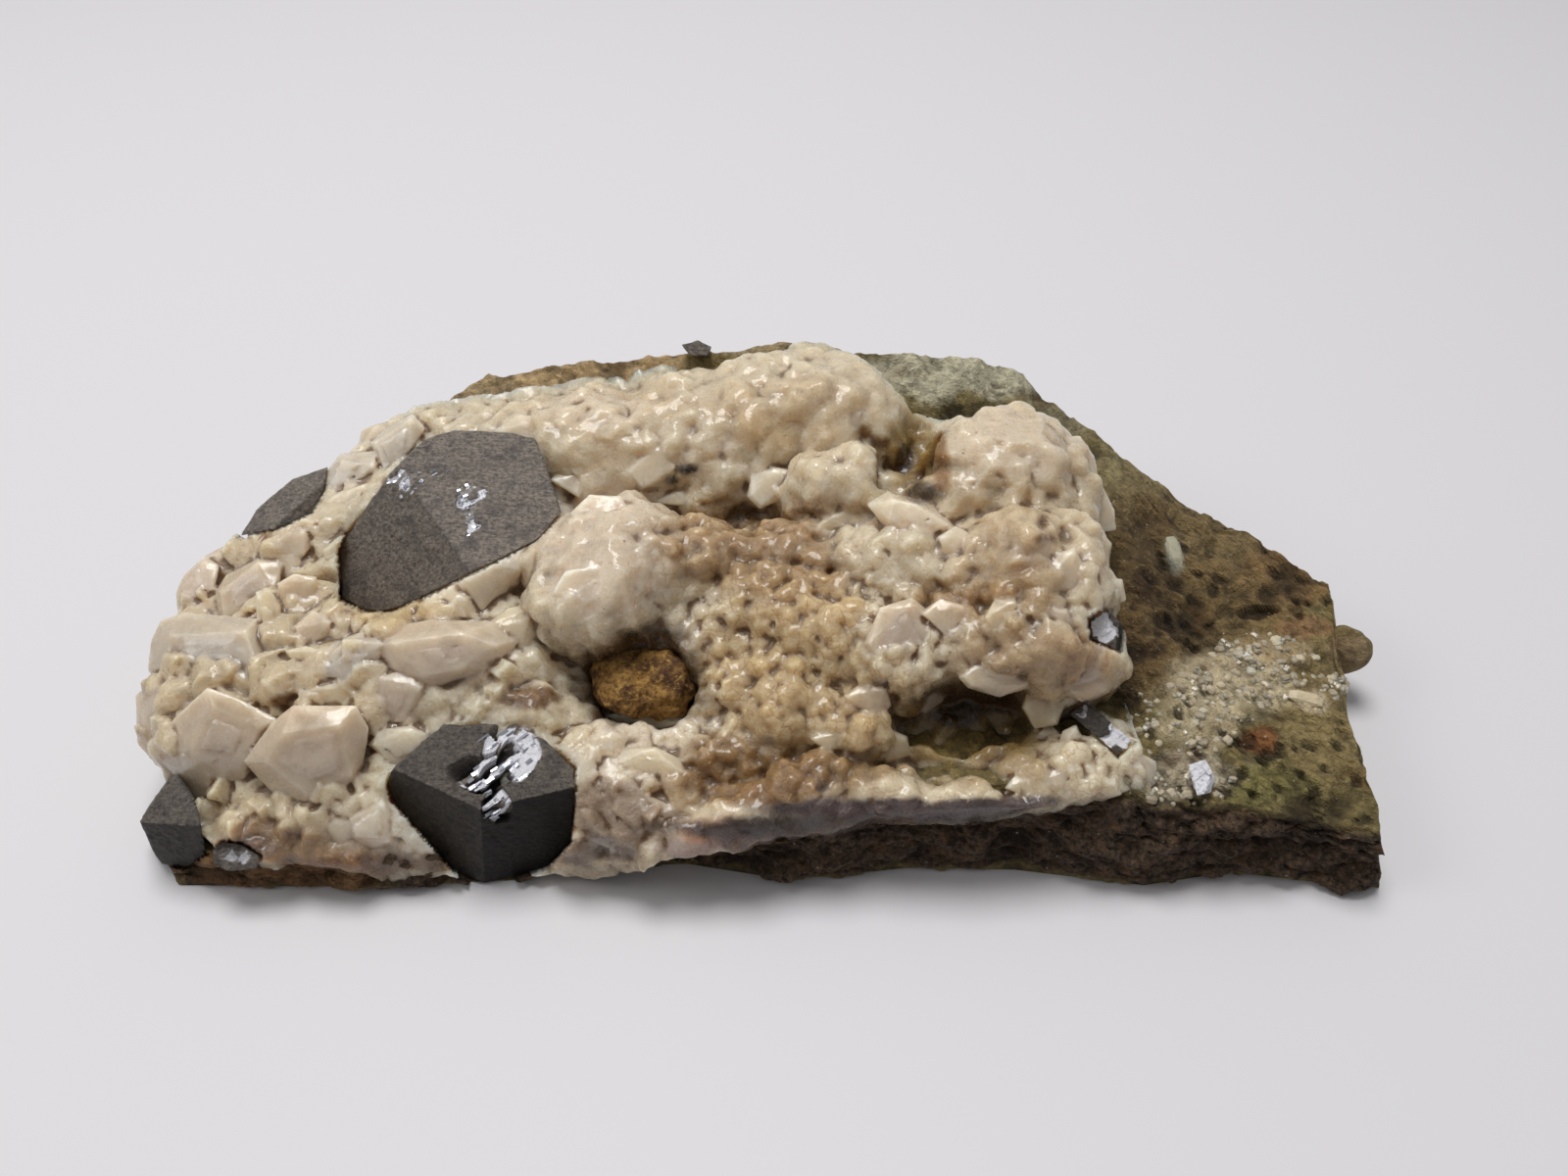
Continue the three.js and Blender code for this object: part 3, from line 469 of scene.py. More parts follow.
class Wire:
    """One socket of a material's nodes. Sums and products of wires add Math nodes, and node()
    adds any other node."""

    def __init__(self, tree, socket=None):
        self.tree = tree
        self.socket = socket

    def node(self, kind, settings, sockets, out=0):
        """Adds a node: first its settings, then a value or a wire for each of its sockets."""
        made = self.tree.nodes.new(kind)
        for name, value in settings.items():
            setattr(made, name, value)
        for key, value in sockets.items():
            if isinstance(value, Wire):
                self.tree.links.new(value.socket, made.inputs[key])
            else:
                made.inputs[key].default_value = value
        return Wire(self.tree, made.outputs[out])

    def maths(self, operation, first, second):
        return self.node("ShaderNodeMath", {"operation": operation}, {0: first, 1: second})

    def __add__(self, other):
        return self.maths("ADD", self, other)

    __radd__ = __add__

    def __sub__(self, other):
        return self.maths("SUBTRACT", self, other)

    def __rsub__(self, other):
        return self.maths("SUBTRACT", other, self)

    def __mul__(self, other):
        return self.maths("MULTIPLY", self, other)

    __rmul__ = __mul__

    def between(self, start, end):
        """0 where this is start or before, 1 where it is end or past it, soft between them."""
        settings = {"interpolation_type": "SMOOTHSTEP", "clamp": True}
        sockets = {"Value": self, "From Min": start, "From Max": end}
        return self.node("ShaderNodeMapRange", settings, sockets)

    def blend(self, low, high):
        """The colour low where this is 0, and high where it is 1."""
        return self.node("ShaderNodeMix", {"data_type": "RGBA"}, {0: self, 6: low, 7: high}, 2)

    def noise(self, place, scale, detail=4.0, roughness=0.55):
        sockets = {"Vector": place, "Scale": scale, "Detail": detail, "Roughness": roughness}
        return self.node("ShaderNodeTexNoise", {}, sockets)

    def cells(self, place, scale, feature="F1"):
        sockets = {"Vector": place, "Scale": scale}
        return self.node("ShaderNodeTexVoronoi", {"feature": feature}, sockets)

    def stretched(self, place, by):
        """Coordinates, each times a number of its own."""
        return self.node("ShaderNodeVectorMath", {"operation": "MULTIPLY"}, {0: place, 1: by})

    def mark(self, name):
        return self.node("ShaderNodeAttribute", {"attribute_name": name}, {}, 2)

    def tone(self):
        return self.node("ShaderNodeAttribute", {"attribute_name": "tone"}, {}, 0)

    def darker(self, colour, share):
        """A colour times a share of itself."""
        settings = {"operation": "SCALE"}
        return self.node("ShaderNodeVectorMath", settings, {0: colour, "Scale": share})

    def bump(self, height, distance, strength=1.0):
        sockets = {"Height": height, "Distance": distance * MM, "Strength": strength}
        return self.node("ShaderNodeBump", {}, sockets)


def new_material(name):
    """A material, a wire to start from, and Object coordinates in millimetres."""
    material = bpy.data.materials.new(name)
    material.use_nodes = True
    tree = material.node_tree
    tree.nodes.clear()
    wire = Wire(tree)
    place = wire.node("ShaderNodeTexCoord", {}, {}, "Object")
    return material, wire, wire.darker(place, 1 / MM)


def finish_material(wire, sockets):
    """Puts the shader's values and wires in place and joins it to the output."""
    shader = wire.node("ShaderNodeBsdfPrincipled", {}, sockets)
    output = wire.tree.nodes.new("ShaderNodeOutputMaterial")
    wire.tree.links.new(shader.socket, output.inputs["Surface"])


def ink(red, green, blue):
    """A colour given as it looks, for a socket."""
    return (*paint(red, green, blue), 1.0)


galena_material, wire, place = new_material("galena")
fine = wire.noise(place, 3.6, 8.0, 0.74)
mottle = wire.noise(place, 0.7, 5.0, 0.66)
scratches = wire.noise(wire.stretched(place, (0.5, 2.4, 1.2)), 2.6, 5.0, 0.7)
pits = wire.cells(place, 2.8).between(0.24, 0.12) * fine.between(0.42, 0.6)
dull = fine.between(0.34, 0.66).blend(ink(92, 86, 82), ink(150, 140, 129))
dull = (scratches.between(0.5, 0.62) * 0.6).blend(dull, ink(168, 157, 142))
dull = (mottle.between(0.5, 0.36) * 0.55).blend(dull, ink(82, 76, 78))
dull = (pits * 0.5).blend(dull, ink(44, 40, 42))
# Painted shade: faces turned from the light, and the sunk plates of the hollow, are painted near black.
shade = fine.between(0.4, 0.66).blend(ink(4, 3, 4), ink(20, 16, 17))
dull = (wire.mark("painted_shade") * 0.92).blend(dull, shade)
# Painted glint: freshly cleaved places are painted near white.
painted_glint = (wire.mark("fresh_and_glint") - 0.5 * fine).between(0.1, 0.45)
base = painted_glint.blend(dull, ink(238, 237, 243))
finish_material(
    wire,
    {
        "Base Color": base,
        "Metallic": 0.35 - 0.2 * painted_glint,
        "Roughness": 0.6 - 0.34 * painted_glint + 0.3 * (fine - 0.5),
        "Normal": wire.bump(fine + 0.4 * scratches - 0.8 * pits, 0.2, 0.9),
    },
)
skins = {}
for name, crystal in GALENA.items():
    points, triangles, marks = galena_skin(name, **crystal)
    piece = new_piece(name + "_crystal", points, triangles, galena_material, marks=marks)
    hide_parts(name)
    skins[name] = points, marks["fresh_and_glint"]

# Cleavage flakes: thin plates along the broken faces, each tipped a little its own way and
# painted with a near-white glint of its own strength, at random.
FLAKES = [
    # [piece, crystal, count, half sizes, turn]
    ["flakes_front", "galena_front", 60, (0.30, 0.08, 0.05), axes_of(4, 70, 35)],
    ["flakes_large", "galena_large", 60, (0.16, 0.07, 0.03), axes_of(12, 72, 20)],
]
FLAKE_TIP = 0.28  # how far they tip apart
FLAKE_SIZES = (0.5, 1.7)  # least and most share of the half sizes
FLAKE_CORNERS = np.array(list(np.ndindex(2, 2, 2))) * 2 - 1
FLAKE_SIDES = [(0, 1, 3, 2), (4, 6, 7, 5), (0, 4, 5, 1), (2, 3, 7, 6), (0, 2, 6, 4), (1, 5, 7, 3)]
FLAKE_TRIANGLES = np.array([t for a, b, c, d in FLAKE_SIDES for t in ((a, b, c), (a, c, d))])


def copies(body, faces, halves, turns, places):
    """A small body many times: its corners times each copy's half sizes, turned and moved."""
    points = np.einsum("pk,nk,nkc->npc", body, halves, turns) + places[:, None]
    triangles = faces + (np.arange(len(places)) * len(body))[:, None, None]
    return points.reshape(-1, 3), triangles.reshape(-1, 3)


# Painted glint: each flake's colour runs from grey to near white by its own lot.
flake_material, wire, place = new_material("cleavage")
fine = wire.noise(place, 3.0, 3.0)
finish_material(
    wire,
    {
        "Base Color": wire.mark("painted_glint").blend(ink(96, 98, 112), ink(232, 234, 242)),
        "Metallic": 0.7,
        "Roughness": 0.12 + 0.16 * fine,
    },
)
lots = np.random.default_rng(31)
for name, crystal, count, half, axes in FLAKES:
    on_skin, fresh_and_glint = skins[crystal]
    visible = np.clip(fresh_and_glint, 0, None) * (on_skin[:, 2] > on_skin[:, 2].mean())
    picked = lots.choice(len(on_skin), count, replace=False, p=visible / visible.sum())
    up = unit(axes[0] + FLAKE_TIP * lots.normal(size=(count, 3)))
    along = unit(axes[1] - up * (up @ axes[1])[:, None])
    turns = np.stack([along, np.cross(up, along), up], axis=1)
    halves = np.array(half) * lots.uniform(*FLAKE_SIZES, (count, 3))
    points, triangles = copies(FLAKE_CORNERS, FLAKE_TRIANGLES, halves, turns, on_skin[picked])
    marks = {"painted_glint": lots.uniform(0.2, 1, count).repeat(len(FLAKE_CORNERS))}
    new_piece(name, points, triangles, flake_material, marks=marks)


# Vein rock. A slab of brown-olive rock broken out of the vein wall: layered and dark on its
# front face, a darkness that is partly its own colour and partly painted shade, gritty and
# iron-stained on its top, grey-green along the ridge.
# [x, y of the foot of the front face]
ROCK_FOOT = [
    [-45.6, -17.5], [-43.4, -21.3], [-32.6, -21.4], [-19.6, -20.9], [-15, -19.8], [-6.9, -19.5],
    [0.1, -20.8], [3.6, -20.5], [9.4, -19.8], [16.9, -20.0], [26, -21.3], [32.4, -20.2],
    [38.4, -21.0], [42.9, -21.5],
]
# [x, how far the lip over the front face lies behind the foot, height]
ROCK_LIP = [
    [-45.6, 0.4, 2.4], [-43.4, 0.3, 3.4], [-32.6, 0.4, 4.0], [-19.6, 0.5, 4.0], [-8.6, 0.4, 5.2],
    [0.1, 0.8, 6.4], [9.4, 0.8, 8.0], [23.4, 1.6, 8.6], [32.4, 0.4, 7.4], [42.9, 0.3, 6.2],
]
# [x, y of the ridge, height, y of the back, sag of the top between lip and ridge]
ROCK_RIDGE = [
    [-45.6, -8.0, 4.2, -5.5, 0.2], [-43.6, -1.5, 6.8, 1.5, 0.5], [-39.6, 5.6, 10.4, 8.6, 1.0],
    [-34.1, 11.6, 13.2, 14.6, 2.0], [-30.1, 15.0, 15.2, 17.8, 3.0],
    [-24.6, 17.3, 17.6, 19.5, 3.5], [-16.1, 17.3, 19.2, 20.5, 4.5],
    [-7.6, 17.5, 19.6, 21.0, 5.0], [0.1, 18.5, 19.8, 21.5, 5.0], [8.4, 19.5, 18.4, 21.7, 4.5],
    [14.4, 20.6, 17.5, 21.8, 3.5], [20.4, 20.6, 16.0, 21.7, 2.0], [24.9, 16.2, 14.3, 18.3, 0.8],
    [27.4, 14.0, 13.4, 16.0, 0.2], [32.4, 10.8, 10.2, 12.8, 0], [38.4, 6.0, 9.4, 8.0, 0],
    [42.9, 2.0, 8.2, 4.4, 0],
]
# [y, how far the right end stands out there]
ROCK_END = [
    [-21.5, -0.1], [-15.5, 0.6], [-7, 1.0], [1.4, 3.4],
]
ROCK_END_IN = 0.3  # how far it draws in for each millimetre of height
ROCK_END_FROM = 22  # x from which it slants
ROCK_ROUGH = (0.45, 9)  # height and length of the long waves
ROCK_UNEVEN = [[0.26, 3.1, 1], [0.16, 1.3, 2]]
ROCK_GRIT = (0.9, 0.32, 0.3)  # size, height by lot, height of each grain's middle
# The front face's blocks: [stretch, size, seed, height of each one's middle, height by lot]
FRONT_BLOCKS = [
    [(0.7, 1, 1.3), 1.7, 4, 1.3, 0.5],
    [(0.8, 1, 1.2), 0.8, 5, 0.45, 0.2],
]
ROCK_PIT = (1286, 622, 26, 8)  # a dark slot in the slab: middle and half sizes, in pixels
ROCK_PIT_DEPTH = 0.7
BROAD_PITS = (2.7, 0.42, 0.3)  # spacing, reach in spacings, depth
SMALL_PITS = (1.5, 0.36, 0.4)  # the same on the open slab
OPEN_FROM = (1120, 1180)  # pixels x between which the open slab begins
ROCK_END_UNEVEN = [[0.5, 2.2, 9], [0.2, 0.9, 10]]
ROCK_LEAST = 0.15  # lowest height of a point above the flat base
ROCK_TOP_STEPS = 9
ROCK_COLUMNS = 330
ROCK_CAP_RINGS = 14
ROCK_AROUND = (62, 150, 30, 8)  # points up the front, over the top, down the back, underneath

OLIVE = paint(122, 108, 70)
ROCK_PATCHES = [
    # [pixel x, pixel y, half width, half height, colour, strength]
    [590, 372, 130, 34, paint(186, 158, 118), 0.9],
    [470, 400, 60, 30, paint(176, 152, 116), 0.8],
    [780, 348, 110, 16, paint(170, 150, 118), 0.8],
    [980, 380, 130, 30, paint(190, 184, 158), 0.95],
    [1080, 420, 50, 30, paint(152, 142, 112), 0.8],
    [1160, 480, 60, 70, paint(146, 134, 98), 0.75],
    [1230, 540, 90, 60, paint(124, 104, 74), 0.7],
    [1310, 590, 60, 34, paint(140, 106, 70), 0.6],
    [1220, 640, 110, 80, paint(130, 108, 72), 0.8],
    [1160, 600, 60, 130, paint(100, 80, 52), 0.8],
    [1350, 730, 60, 90, paint(142, 124, 84), 0.8],
    [1282, 756, 21, 16, paint(142, 86, 48), 0.75],
    [1290, 800, 60, 22, paint(124, 116, 70), 0.8],
    [1204, 790, 66, 26, paint(188, 174, 148), 0.85],
    [1166, 600, 12, 22, paint(60, 44, 28), 0.8],
    [1176, 664, 16, 12, paint(58, 42, 26), 0.8],
    [1196, 700, 10, 8, paint(54, 40, 26), 0.8],
    [1160, 712, 14, 14, paint(60, 44, 28), 0.8],
    [1250, 700, 68, 42, paint(206, 190, 156), 0.85],
    [1226, 746, 44, 28, paint(198, 182, 148), 0.7],
    [1300, 664, 44, 14, paint(190, 168, 132), 0.6],
    [1330, 640, 36, 14, paint(146, 108, 78), 0.6],
    [1335, 712, 20, 15, paint(214, 198, 166), 0.8],
    [1198, 565, 14, 22, paint(178, 176, 156), 0.8],
    [990, 740, 90, 50, paint(112, 94, 52), 0.9],
    [1376, 664, 24, 22, paint(150, 128, 98), 0.9],
    [290, 885, 150, 26, paint(146, 108, 72), 0.9],
]


def reading(table, key, column):
    """Straight-line reading of a table whose first column is the key."""
    rows = np.array(table, float)
    return np.interp(key, rows[:, 0], rows[:, column])


def rough(points, length):
    """Broken-rock unevenness, about -1 to 1: three long sine waves and two short ones, crossing."""
    k = 2 * np.pi / length
    long = (
        np.sin(k * (points @ [0.9, 0.4, -0.3]))
        + np.sin(k * (points @ [-0.5, 0.8, 0.6]) + 1.7)
        + np.sin(k * (points @ [0.3, -0.6, 0.9]) + 4.1)
    )
    short = np.sin(2.7 * k * (points @ [0.7, -0.7, 0.2]) + 0.6) + np.sin(
        2.7 * k * (points @ [0.6, 0.5, -0.8]) + 2.9
    )
    return (long + 0.6 * short) / 3


def grains(points, size, seed, blocky=False):
    """Packed grains of about a size. Each cube of space holds one grain's middle, placed by lot.
    Gives the distance to the nearest middle and how much farther the next one is, in grain
    sizes, and the nearest grain's lot. A blocky grain's distance is the largest of the three
    along its own turned axes, so that its sides are flat."""
    place = points / size
    home = np.floor(place)
    near = np.full(place.shape[:-1], 9.0)
    following = near.copy()
    own = np.zeros_like(near)
    for step in np.ndindex(3, 3, 3):
        cell = home + step - 1
        middle = cell + np.stack([lot(cell, seed + k) for k in range(3)], axis=-1)
        x, y, z = np.moveaxis(place - middle, -1, 0)
        if blocky:
            spin = 2 * np.pi * lot(cell, seed + 4)
            tip = 2 * np.pi * lot(cell, seed + 5)
            x, y = np.cos(spin) * x + np.sin(spin) * y, np.cos(spin) * y - np.sin(spin) * x
            y, z = np.cos(tip) * y + np.sin(tip) * z, np.cos(tip) * z - np.sin(tip) * y
            far = np.maximum(np.maximum(abs(x), abs(y)), abs(z))
        else:
            far = np.sqrt(x * x + y * y + z * z)
        closer = far < near
        following = np.where(closer, near, np.minimum(following, far))
        own = np.where(closer, lot(cell, seed + 6), own)
        near = np.where(closer, far, near)
    return near, following - near, own


PATCH_EDGE = ([[15, 2.6, 31], [6, 0.9, 32]], [[13, 2.6, 33], [5, 0.9, 34]])
SMALL_PATCH = 26  # a patch with a half size under this, in pixels, has a less uneven edge


def painted(points, ground, patches):
    """The colour of each point: the ground, then each oval patch over it in turn, laid out in
    the view, with an edge made uneven by clouds, less so on a small patch."""
    px, py = shown(points)
    off_x, off_y = (clouds(points, rows) for rows in PATCH_EDGE)
    tone = np.broadcast_to(ground, points.shape).copy()
    for x, y, a, b, colour, strength in patches:
        free = min(1, min(a, b) / SMALL_PATCH)
        inside = oval(px + free * off_x, py + free * off_y, x, y, a, b)
        tone += (strength * smooth(inside, -0.15, 0.6))[..., None] * (colour - tone)
    return tone


def closed_loft(rings):
    """Points and triangles of a closed surface through rings of points, with each end closed by
    a fan to the ring's middle."""
    count, around = rings.shape[:2]
    points = np.concatenate([rings.reshape(-1, 3), rings[[0, -1]].mean(1)])
    i, j = np.meshgrid(np.arange(count - 1), np.arange(around), indexing="ij")
    a = (i * around + j).ravel()
    b = (i * around + (j + 1) % around).ravel()
    sides = np.concatenate(
        [np.stack([a, a + around, b], -1), np.stack([b, a + around, b + around], -1)]
    )
    j = np.arange(around)
    following = (j + 1) % around
    last = (count - 1) * around
    start = np.stack([np.full(around, len(points) - 2), j, following], -1)
    end = np.stack([np.full(around, len(points) - 1), last + following, last + j], -1)
    return points, np.concatenate([sides, start, end])


SEAT_GAP = 0.15  # how far past a crystal's outline its seat reaches
SEAT_BEHIND = 0.5  # how far behind the crystal's faces the seat lies
SEAT_NEAR = 1.3  # share of the way to the faces past which a point is left


def seated(points):
    """The points of a surface with each galena crystal's seat cut out of it: a point in front of
    a crystal's faces, within its outline as seen, moves back along its line of sight to just
    behind them."""
    points = points.copy()
    for crystal in GALENA.values():
        on_front, out = front_faces(crystal["faces"])
        normals, _ = sight_planes(crystal["outline"], on_front[0], crystal["deep"])
        rays = points - EYE
        inside = (rays @ normals[:-1].T).max(-1) < SEAT_GAP
        reach = ((on_front - EYE) * out).sum(-1)
        share = (reach / np.minimum(rays @ out.T, -1e-6)).max(-1)
        behind = share + SEAT_BEHIND / np.linalg.norm(rays, axis=-1)
        moved = inside & (behind > 1) & (share < SEAT_NEAR)
        points = np.where(moved[..., None], EYE + rays * behind[..., None], points)
    return points


def rock_surface():
    """The slab as rings from its left end to its right. A ring runs up the front face, over the
    top between lip and ridge, down the back and along the flat base. Each end is closed by rings
    that shrink to the middle. Every point off the base moves along its section's normal by long
    waves, clouds, grains of grit and, on the front face, thin level ledges."""
    x = np.linspace(ROCK_RIDGE[0][0], ROCK_RIDGE[-1][0], ROCK_COLUMNS)
    foot = reading(ROCK_FOOT, x, 1)
    lip_y = foot + reading(ROCK_LIP, x, 1)
    lip = reading(ROCK_LIP, x, 2)
    ridge_y, ridge, back, sag = (reading(ROCK_RIDGE, x, k) for k in (1, 2, 3, 4))
    ground = np.zeros_like(x)
    corners = [
        (foot + 0.5, ground),
        (foot, 0.2 * lip),
        (foot + 0.9, 0.55 * lip),
        (lip_y - 0.1, 0.75 * lip),
        (lip_y + 0.7, lip),
    ]
    for t in np.arange(1, ROCK_TOP_STEPS + 1) / ROCK_TOP_STEPS:
        level = lip + (ridge - lip) * t - sag * np.sin(np.pi * t)
        corners.append((lip_y + 0.7 + (ridge_y - lip_y - 0.7) * t, level))
    corners.append((ridge_y + 0.35 * (back - ridge_y), 0.9 * ridge))
    corners.append((ridge_y + 0.75 * (back - ridge_y), 0.6 * ridge))
    corners.append((back, 0.3 * ridge))
    corners.append((back - 0.9, ground))
    outline = np.array(corners).transpose(2, 0, 1)
    before = np.roll(outline, 1, axis=1)
    after = np.roll(outline, -1, axis=1)
    away = unit(np.stack([before[..., 1] - after[..., 1], after[..., 0] - before[..., 0]], -1))

    # Points along the ring, more of them where the surface shows.
    knots = np.array([0, 4, 4 + ROCK_TOP_STEPS, len(corners) - 1, len(corners)])
    walk = np.concatenate(
        [np.linspace(*knots[k : k + 2], n, endpoint=False) for k, n in enumerate(ROCK_AROUND)]
    )
    low = walk.astype(int)
    t = (walk - low)[:, None]
    high = (low + 1) % len(corners)
    section = outline[:, low] * (1 - t) + outline[:, high] * t
    away = unit(away[:, low] * (1 - t) + away[:, high] * t)

    along = np.broadcast_to(x[:, None, None], section[..., :1].shape)
    points = np.concatenate([along, section], -1)
    normals = np.concatenate([np.zeros_like(section[..., :1]), away], -1)
    shrink = np.sin(np.linspace(0.04, 0.98, ROCK_CAP_RINGS) * np.pi / 2)
    share = np.concatenate([shrink, np.ones(len(x)), shrink[::-1]])
    points, normals = (
        np.pad(rings, ((ROCK_CAP_RINGS, ROCK_CAP_RINGS), (0, 0), (0, 0)), mode="edge")
        for rings in (points, normals)
    )
    middle = points.mean(1, keepdims=True)

    front = smooth(-normals[..., 1], 0.45, 0.8)
    lift = ROCK_ROUGH[0] * rough(points, ROCK_ROUGH[1])
    lift += clouds(points, ROCK_UNEVEN)
    size, stepped, domed = ROCK_GRIT
    near, gap, own = grains(points, size, 3)
    lift += (stepped * (own - 0.4) * smooth(gap, 0, 0.25) + domed * (0.4 - near)) * (1 - front)
    for stretch, size, seed, domed, stepped in FRONT_BLOCKS:
        block_near, _, block_own = grains(points * stretch, size, seed, blocky=True)
        lift += front * (domed * (0.4 - block_near) + stepped * (block_own - 0.5))
    px, py = shown(points)
    lift -= ROCK_PIT_DEPTH * smooth(oval(px, py, *ROCK_PIT), 0, 0.6)
    size, reach, depth = BROAD_PITS
    lift -= depth * (smooth(reach - grains(points, size, 7)[0], 0, 0.2) * (1 - front))
    open_slab = smooth(px, *OPEN_FROM) * (1 - front)
    size, reach, depth = SMALL_PITS
    small_pits = smooth(reach - grains(points, size, 14)[0], 0, 0.12)
    small_pits *= smooth(cloud(points, 4, 15), -0.2, 0.3)
    lift -= depth * open_slab * small_pits
    lift += 0.16 * open_slab * cloud(points, 0.6, 16)
    above = (points[..., 2] > 0)[..., None]
    points = points + normals * np.where(above, lift[..., None], 0)
    points = np.where(above, seated(points), points)
    points[..., 2] = np.where(above[..., 0], np.maximum(points[..., 2], ROCK_LEAST), 0)

    slant = smooth(points[..., 0], ROCK_END_FROM, ROCK_RIDGE[-1][0])
    reach = reading(ROCK_END, points[..., 1], 1) - ROCK_END_IN * points[..., 2]
    points[..., 0] += slant * (reach + 0.22 * cloud(points, 1.1, 8))
    points = middle * (1 - share[:, None, None]) + points * share[:, None, None]
    ends = np.sign(middle[..., 0]) * (share < 1)[:, None] * (1 - share[:, None] ** 2)
    points[..., 0] += ends * (clouds(points, ROCK_END_UNEVEN) - 0.4)

    # Marks for painting: the front face, painted dark partly as shade; sunk places and small pits, painted
    # near black as shade; and each grain's grit.
    marks = {
        "front": front * (1 - 0.6 * smooth(points[..., 0], -26, -31)),
        "deep": np.maximum(smooth(-lift, -0.1, 0.9), open_slab * small_pits),
        "grit": own * smooth(gap, 0, 0.3),
    }
    middles = [0, 0]  # for the middles of the two end rings
    marks = {key: np.r_[mark.ravel(), middles] for key, mark in marks.items()}
    return *closed_loft(points), marks


rock_material, wire, place = new_material("vein_rock")
fine = wire.noise(place, 2.4, 6.0, 0.7)
broad = wire.noise(place, 0.35, 3.0)
speck = wire.cells(place, 1.5)
patchy = wire.noise(place, 0.85, 6.0, 0.72)
base = wire.darker(wire.tone(), 0.36 + 2.0 * fine)
base = (patchy.between(0.5, 0.62) * 0.5).blend(base, wire.darker(wire.tone(), 1.7))
base = (patchy.between(0.5, 0.38) * 0.6).blend(base, wire.darker(wire.tone(), 0.45))
base = (1 - wire.mark("grit")).between(0.6, 0.95).blend(base, wire.darker(base, 0.8))
base = (fine.between(0.56, 0.7) * 0.6).blend(base, ink(176, 160, 124))
# The front face: its own layered dark brown, painted darker still as shade, since it faces the front, away
# from the lamp overhead.
face = fine.between(0.38, 0.64).blend(ink(40, 29, 24), ink(104, 82, 68))
ledge = wire.noise(place, 1.1, 5.0, 0.6).between(0.52, 0.68) * 0.6
face = ledge.blend(face, ink(120, 88, 62))
base = (wire.mark("front") * 0.92).blend(base, face)
# Painted shade: sunk places and pits are painted near black.
base = (wire.mark("deep") * 0.8).blend(base, ink(32, 23, 17))
base = (broad.between(0.52, 0.7) * 0.3).blend(base, ink(120, 86, 50))
specks = speck.between(0.16, 0.06) * fine.between(0.5, 0.62)
base = specks.blend(base, ink(200, 190, 168))
height = fine + 0.6 * wire.noise(place, 7.0, 3.0)
finish_material(
    wire,
    {
        "Base Color": base,
        "Roughness": 0.95 - 0.45 * fine,
        "Specular IOR Level": 0.35,
        "Normal": wire.bump(height, 0.4),
    },
)

points, triangles, marks = rock_surface()
rock_points = points
tone = painted(points, OLIVE, ROCK_PATCHES)
rock = new_piece("rock_slab", points, triangles, rock_material, tone, marks)

# The knob on the slab's right end: [pixel x, pixel y, height], half sizes and turn
KNOB_AT = (1372, 662, 4.6)
KNOB_HALF = (2.1, 1.7, 2.2)
KNOB_LEAN = np.radians(-32)
KNOB_UNEVEN = [[0.2, 1.6, 21], [0.1, 0.7, 22]]
KNOB_GRIT = 0.3


def ball(half, centre, steps, lean=0.0):
    """An ellipsoid as rings from pole to pole, turned about the upright by a lean."""
    t = np.linspace(0.01, 0.99, steps) * np.pi
    s = np.linspace(0, 2 * np.pi, 2 * steps, endpoint=False)
    t, s = np.meshgrid(t, s, indexing="ij")
    x, y, z = half[0] * np.cos(t), half[1] * np.sin(t) * np.cos(s), half[2] * np.sin(t) * np.sin(s)
    turned = [np.cos(lean) * x - np.sin(lean) * y, np.sin(lean) * x + np.cos(lean) * y, z]
    return np.stack(turned, -1) + centre


rings = ball(KNOB_HALF, seen(*KNOB_AT), 60, KNOB_LEAN)
out = unit(rings - rings.mean((0, 1)))
lift = clouds(rings, KNOB_UNEVEN)
points, triangles = closed_loft(rings + out * (lift - 0.1)[..., None])
tone = painted(points, OLIVE, ROCK_PATCHES)
zero = np.zeros(len(points))
marks = {"front": zero, "deep": zero, "grit": zero + KNOB_GRIT}
knob = new_piece("rock_knob", points, triangles, rock_material, tone, marks)
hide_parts("vein_rock")


# Crust. A bed of milky vein crystals grown over the rock, leaning to the front: botryoidal lumps
# with hollows between them, covered in places with a druse of small block crystals.
CRUST_LEAN = np.radians(25)  # the slope of the plane on which it is laid out
CRUST_LEVEL = 14  # that plane's height over the middle
# Where its front and back edges lie: [pixel x, pixel y, height]
CRUST_FRONT_EDGE = [
    [137, 742, 8.5], [150, 806, 8], [215, 862, 6], [290, 878, 5.4], [370, 886, 5.2],
    [470, 888, 5.3], [585, 882, 5.6], [640, 880, 4.5], [700, 876, 4.6], [760, 862, 5.6],
    [830, 850, 6.2], [900, 832, 7.2], [960, 828, 7.4], [1040, 826, 7.4], [1085, 821, 7.8],
    [1110, 809, 8.4], [1165, 798, 8.4],
]
CRUST_BACK_EDGE = [
    [133, 712, 9], [150, 648, 10], [178, 598, 11], [222, 566, 12.3], [262, 544, 13.2],
    [322, 500, 14.3], [372, 446, 16], [430, 408, 17.6], [500, 389, 19.4], [560, 374, 20.2],
    [620, 363, 20.8], [700, 355, 21.3], [760, 350, 21.4], [850, 350, 21.2], [905, 395, 19.2],
    [950, 405, 19.6], [1000, 402, 20.2], [1050, 410, 19.6], [1098, 440, 17.5], [1128, 500, 15],
    [1150, 590, 12], [1165, 700, 9.4],
]
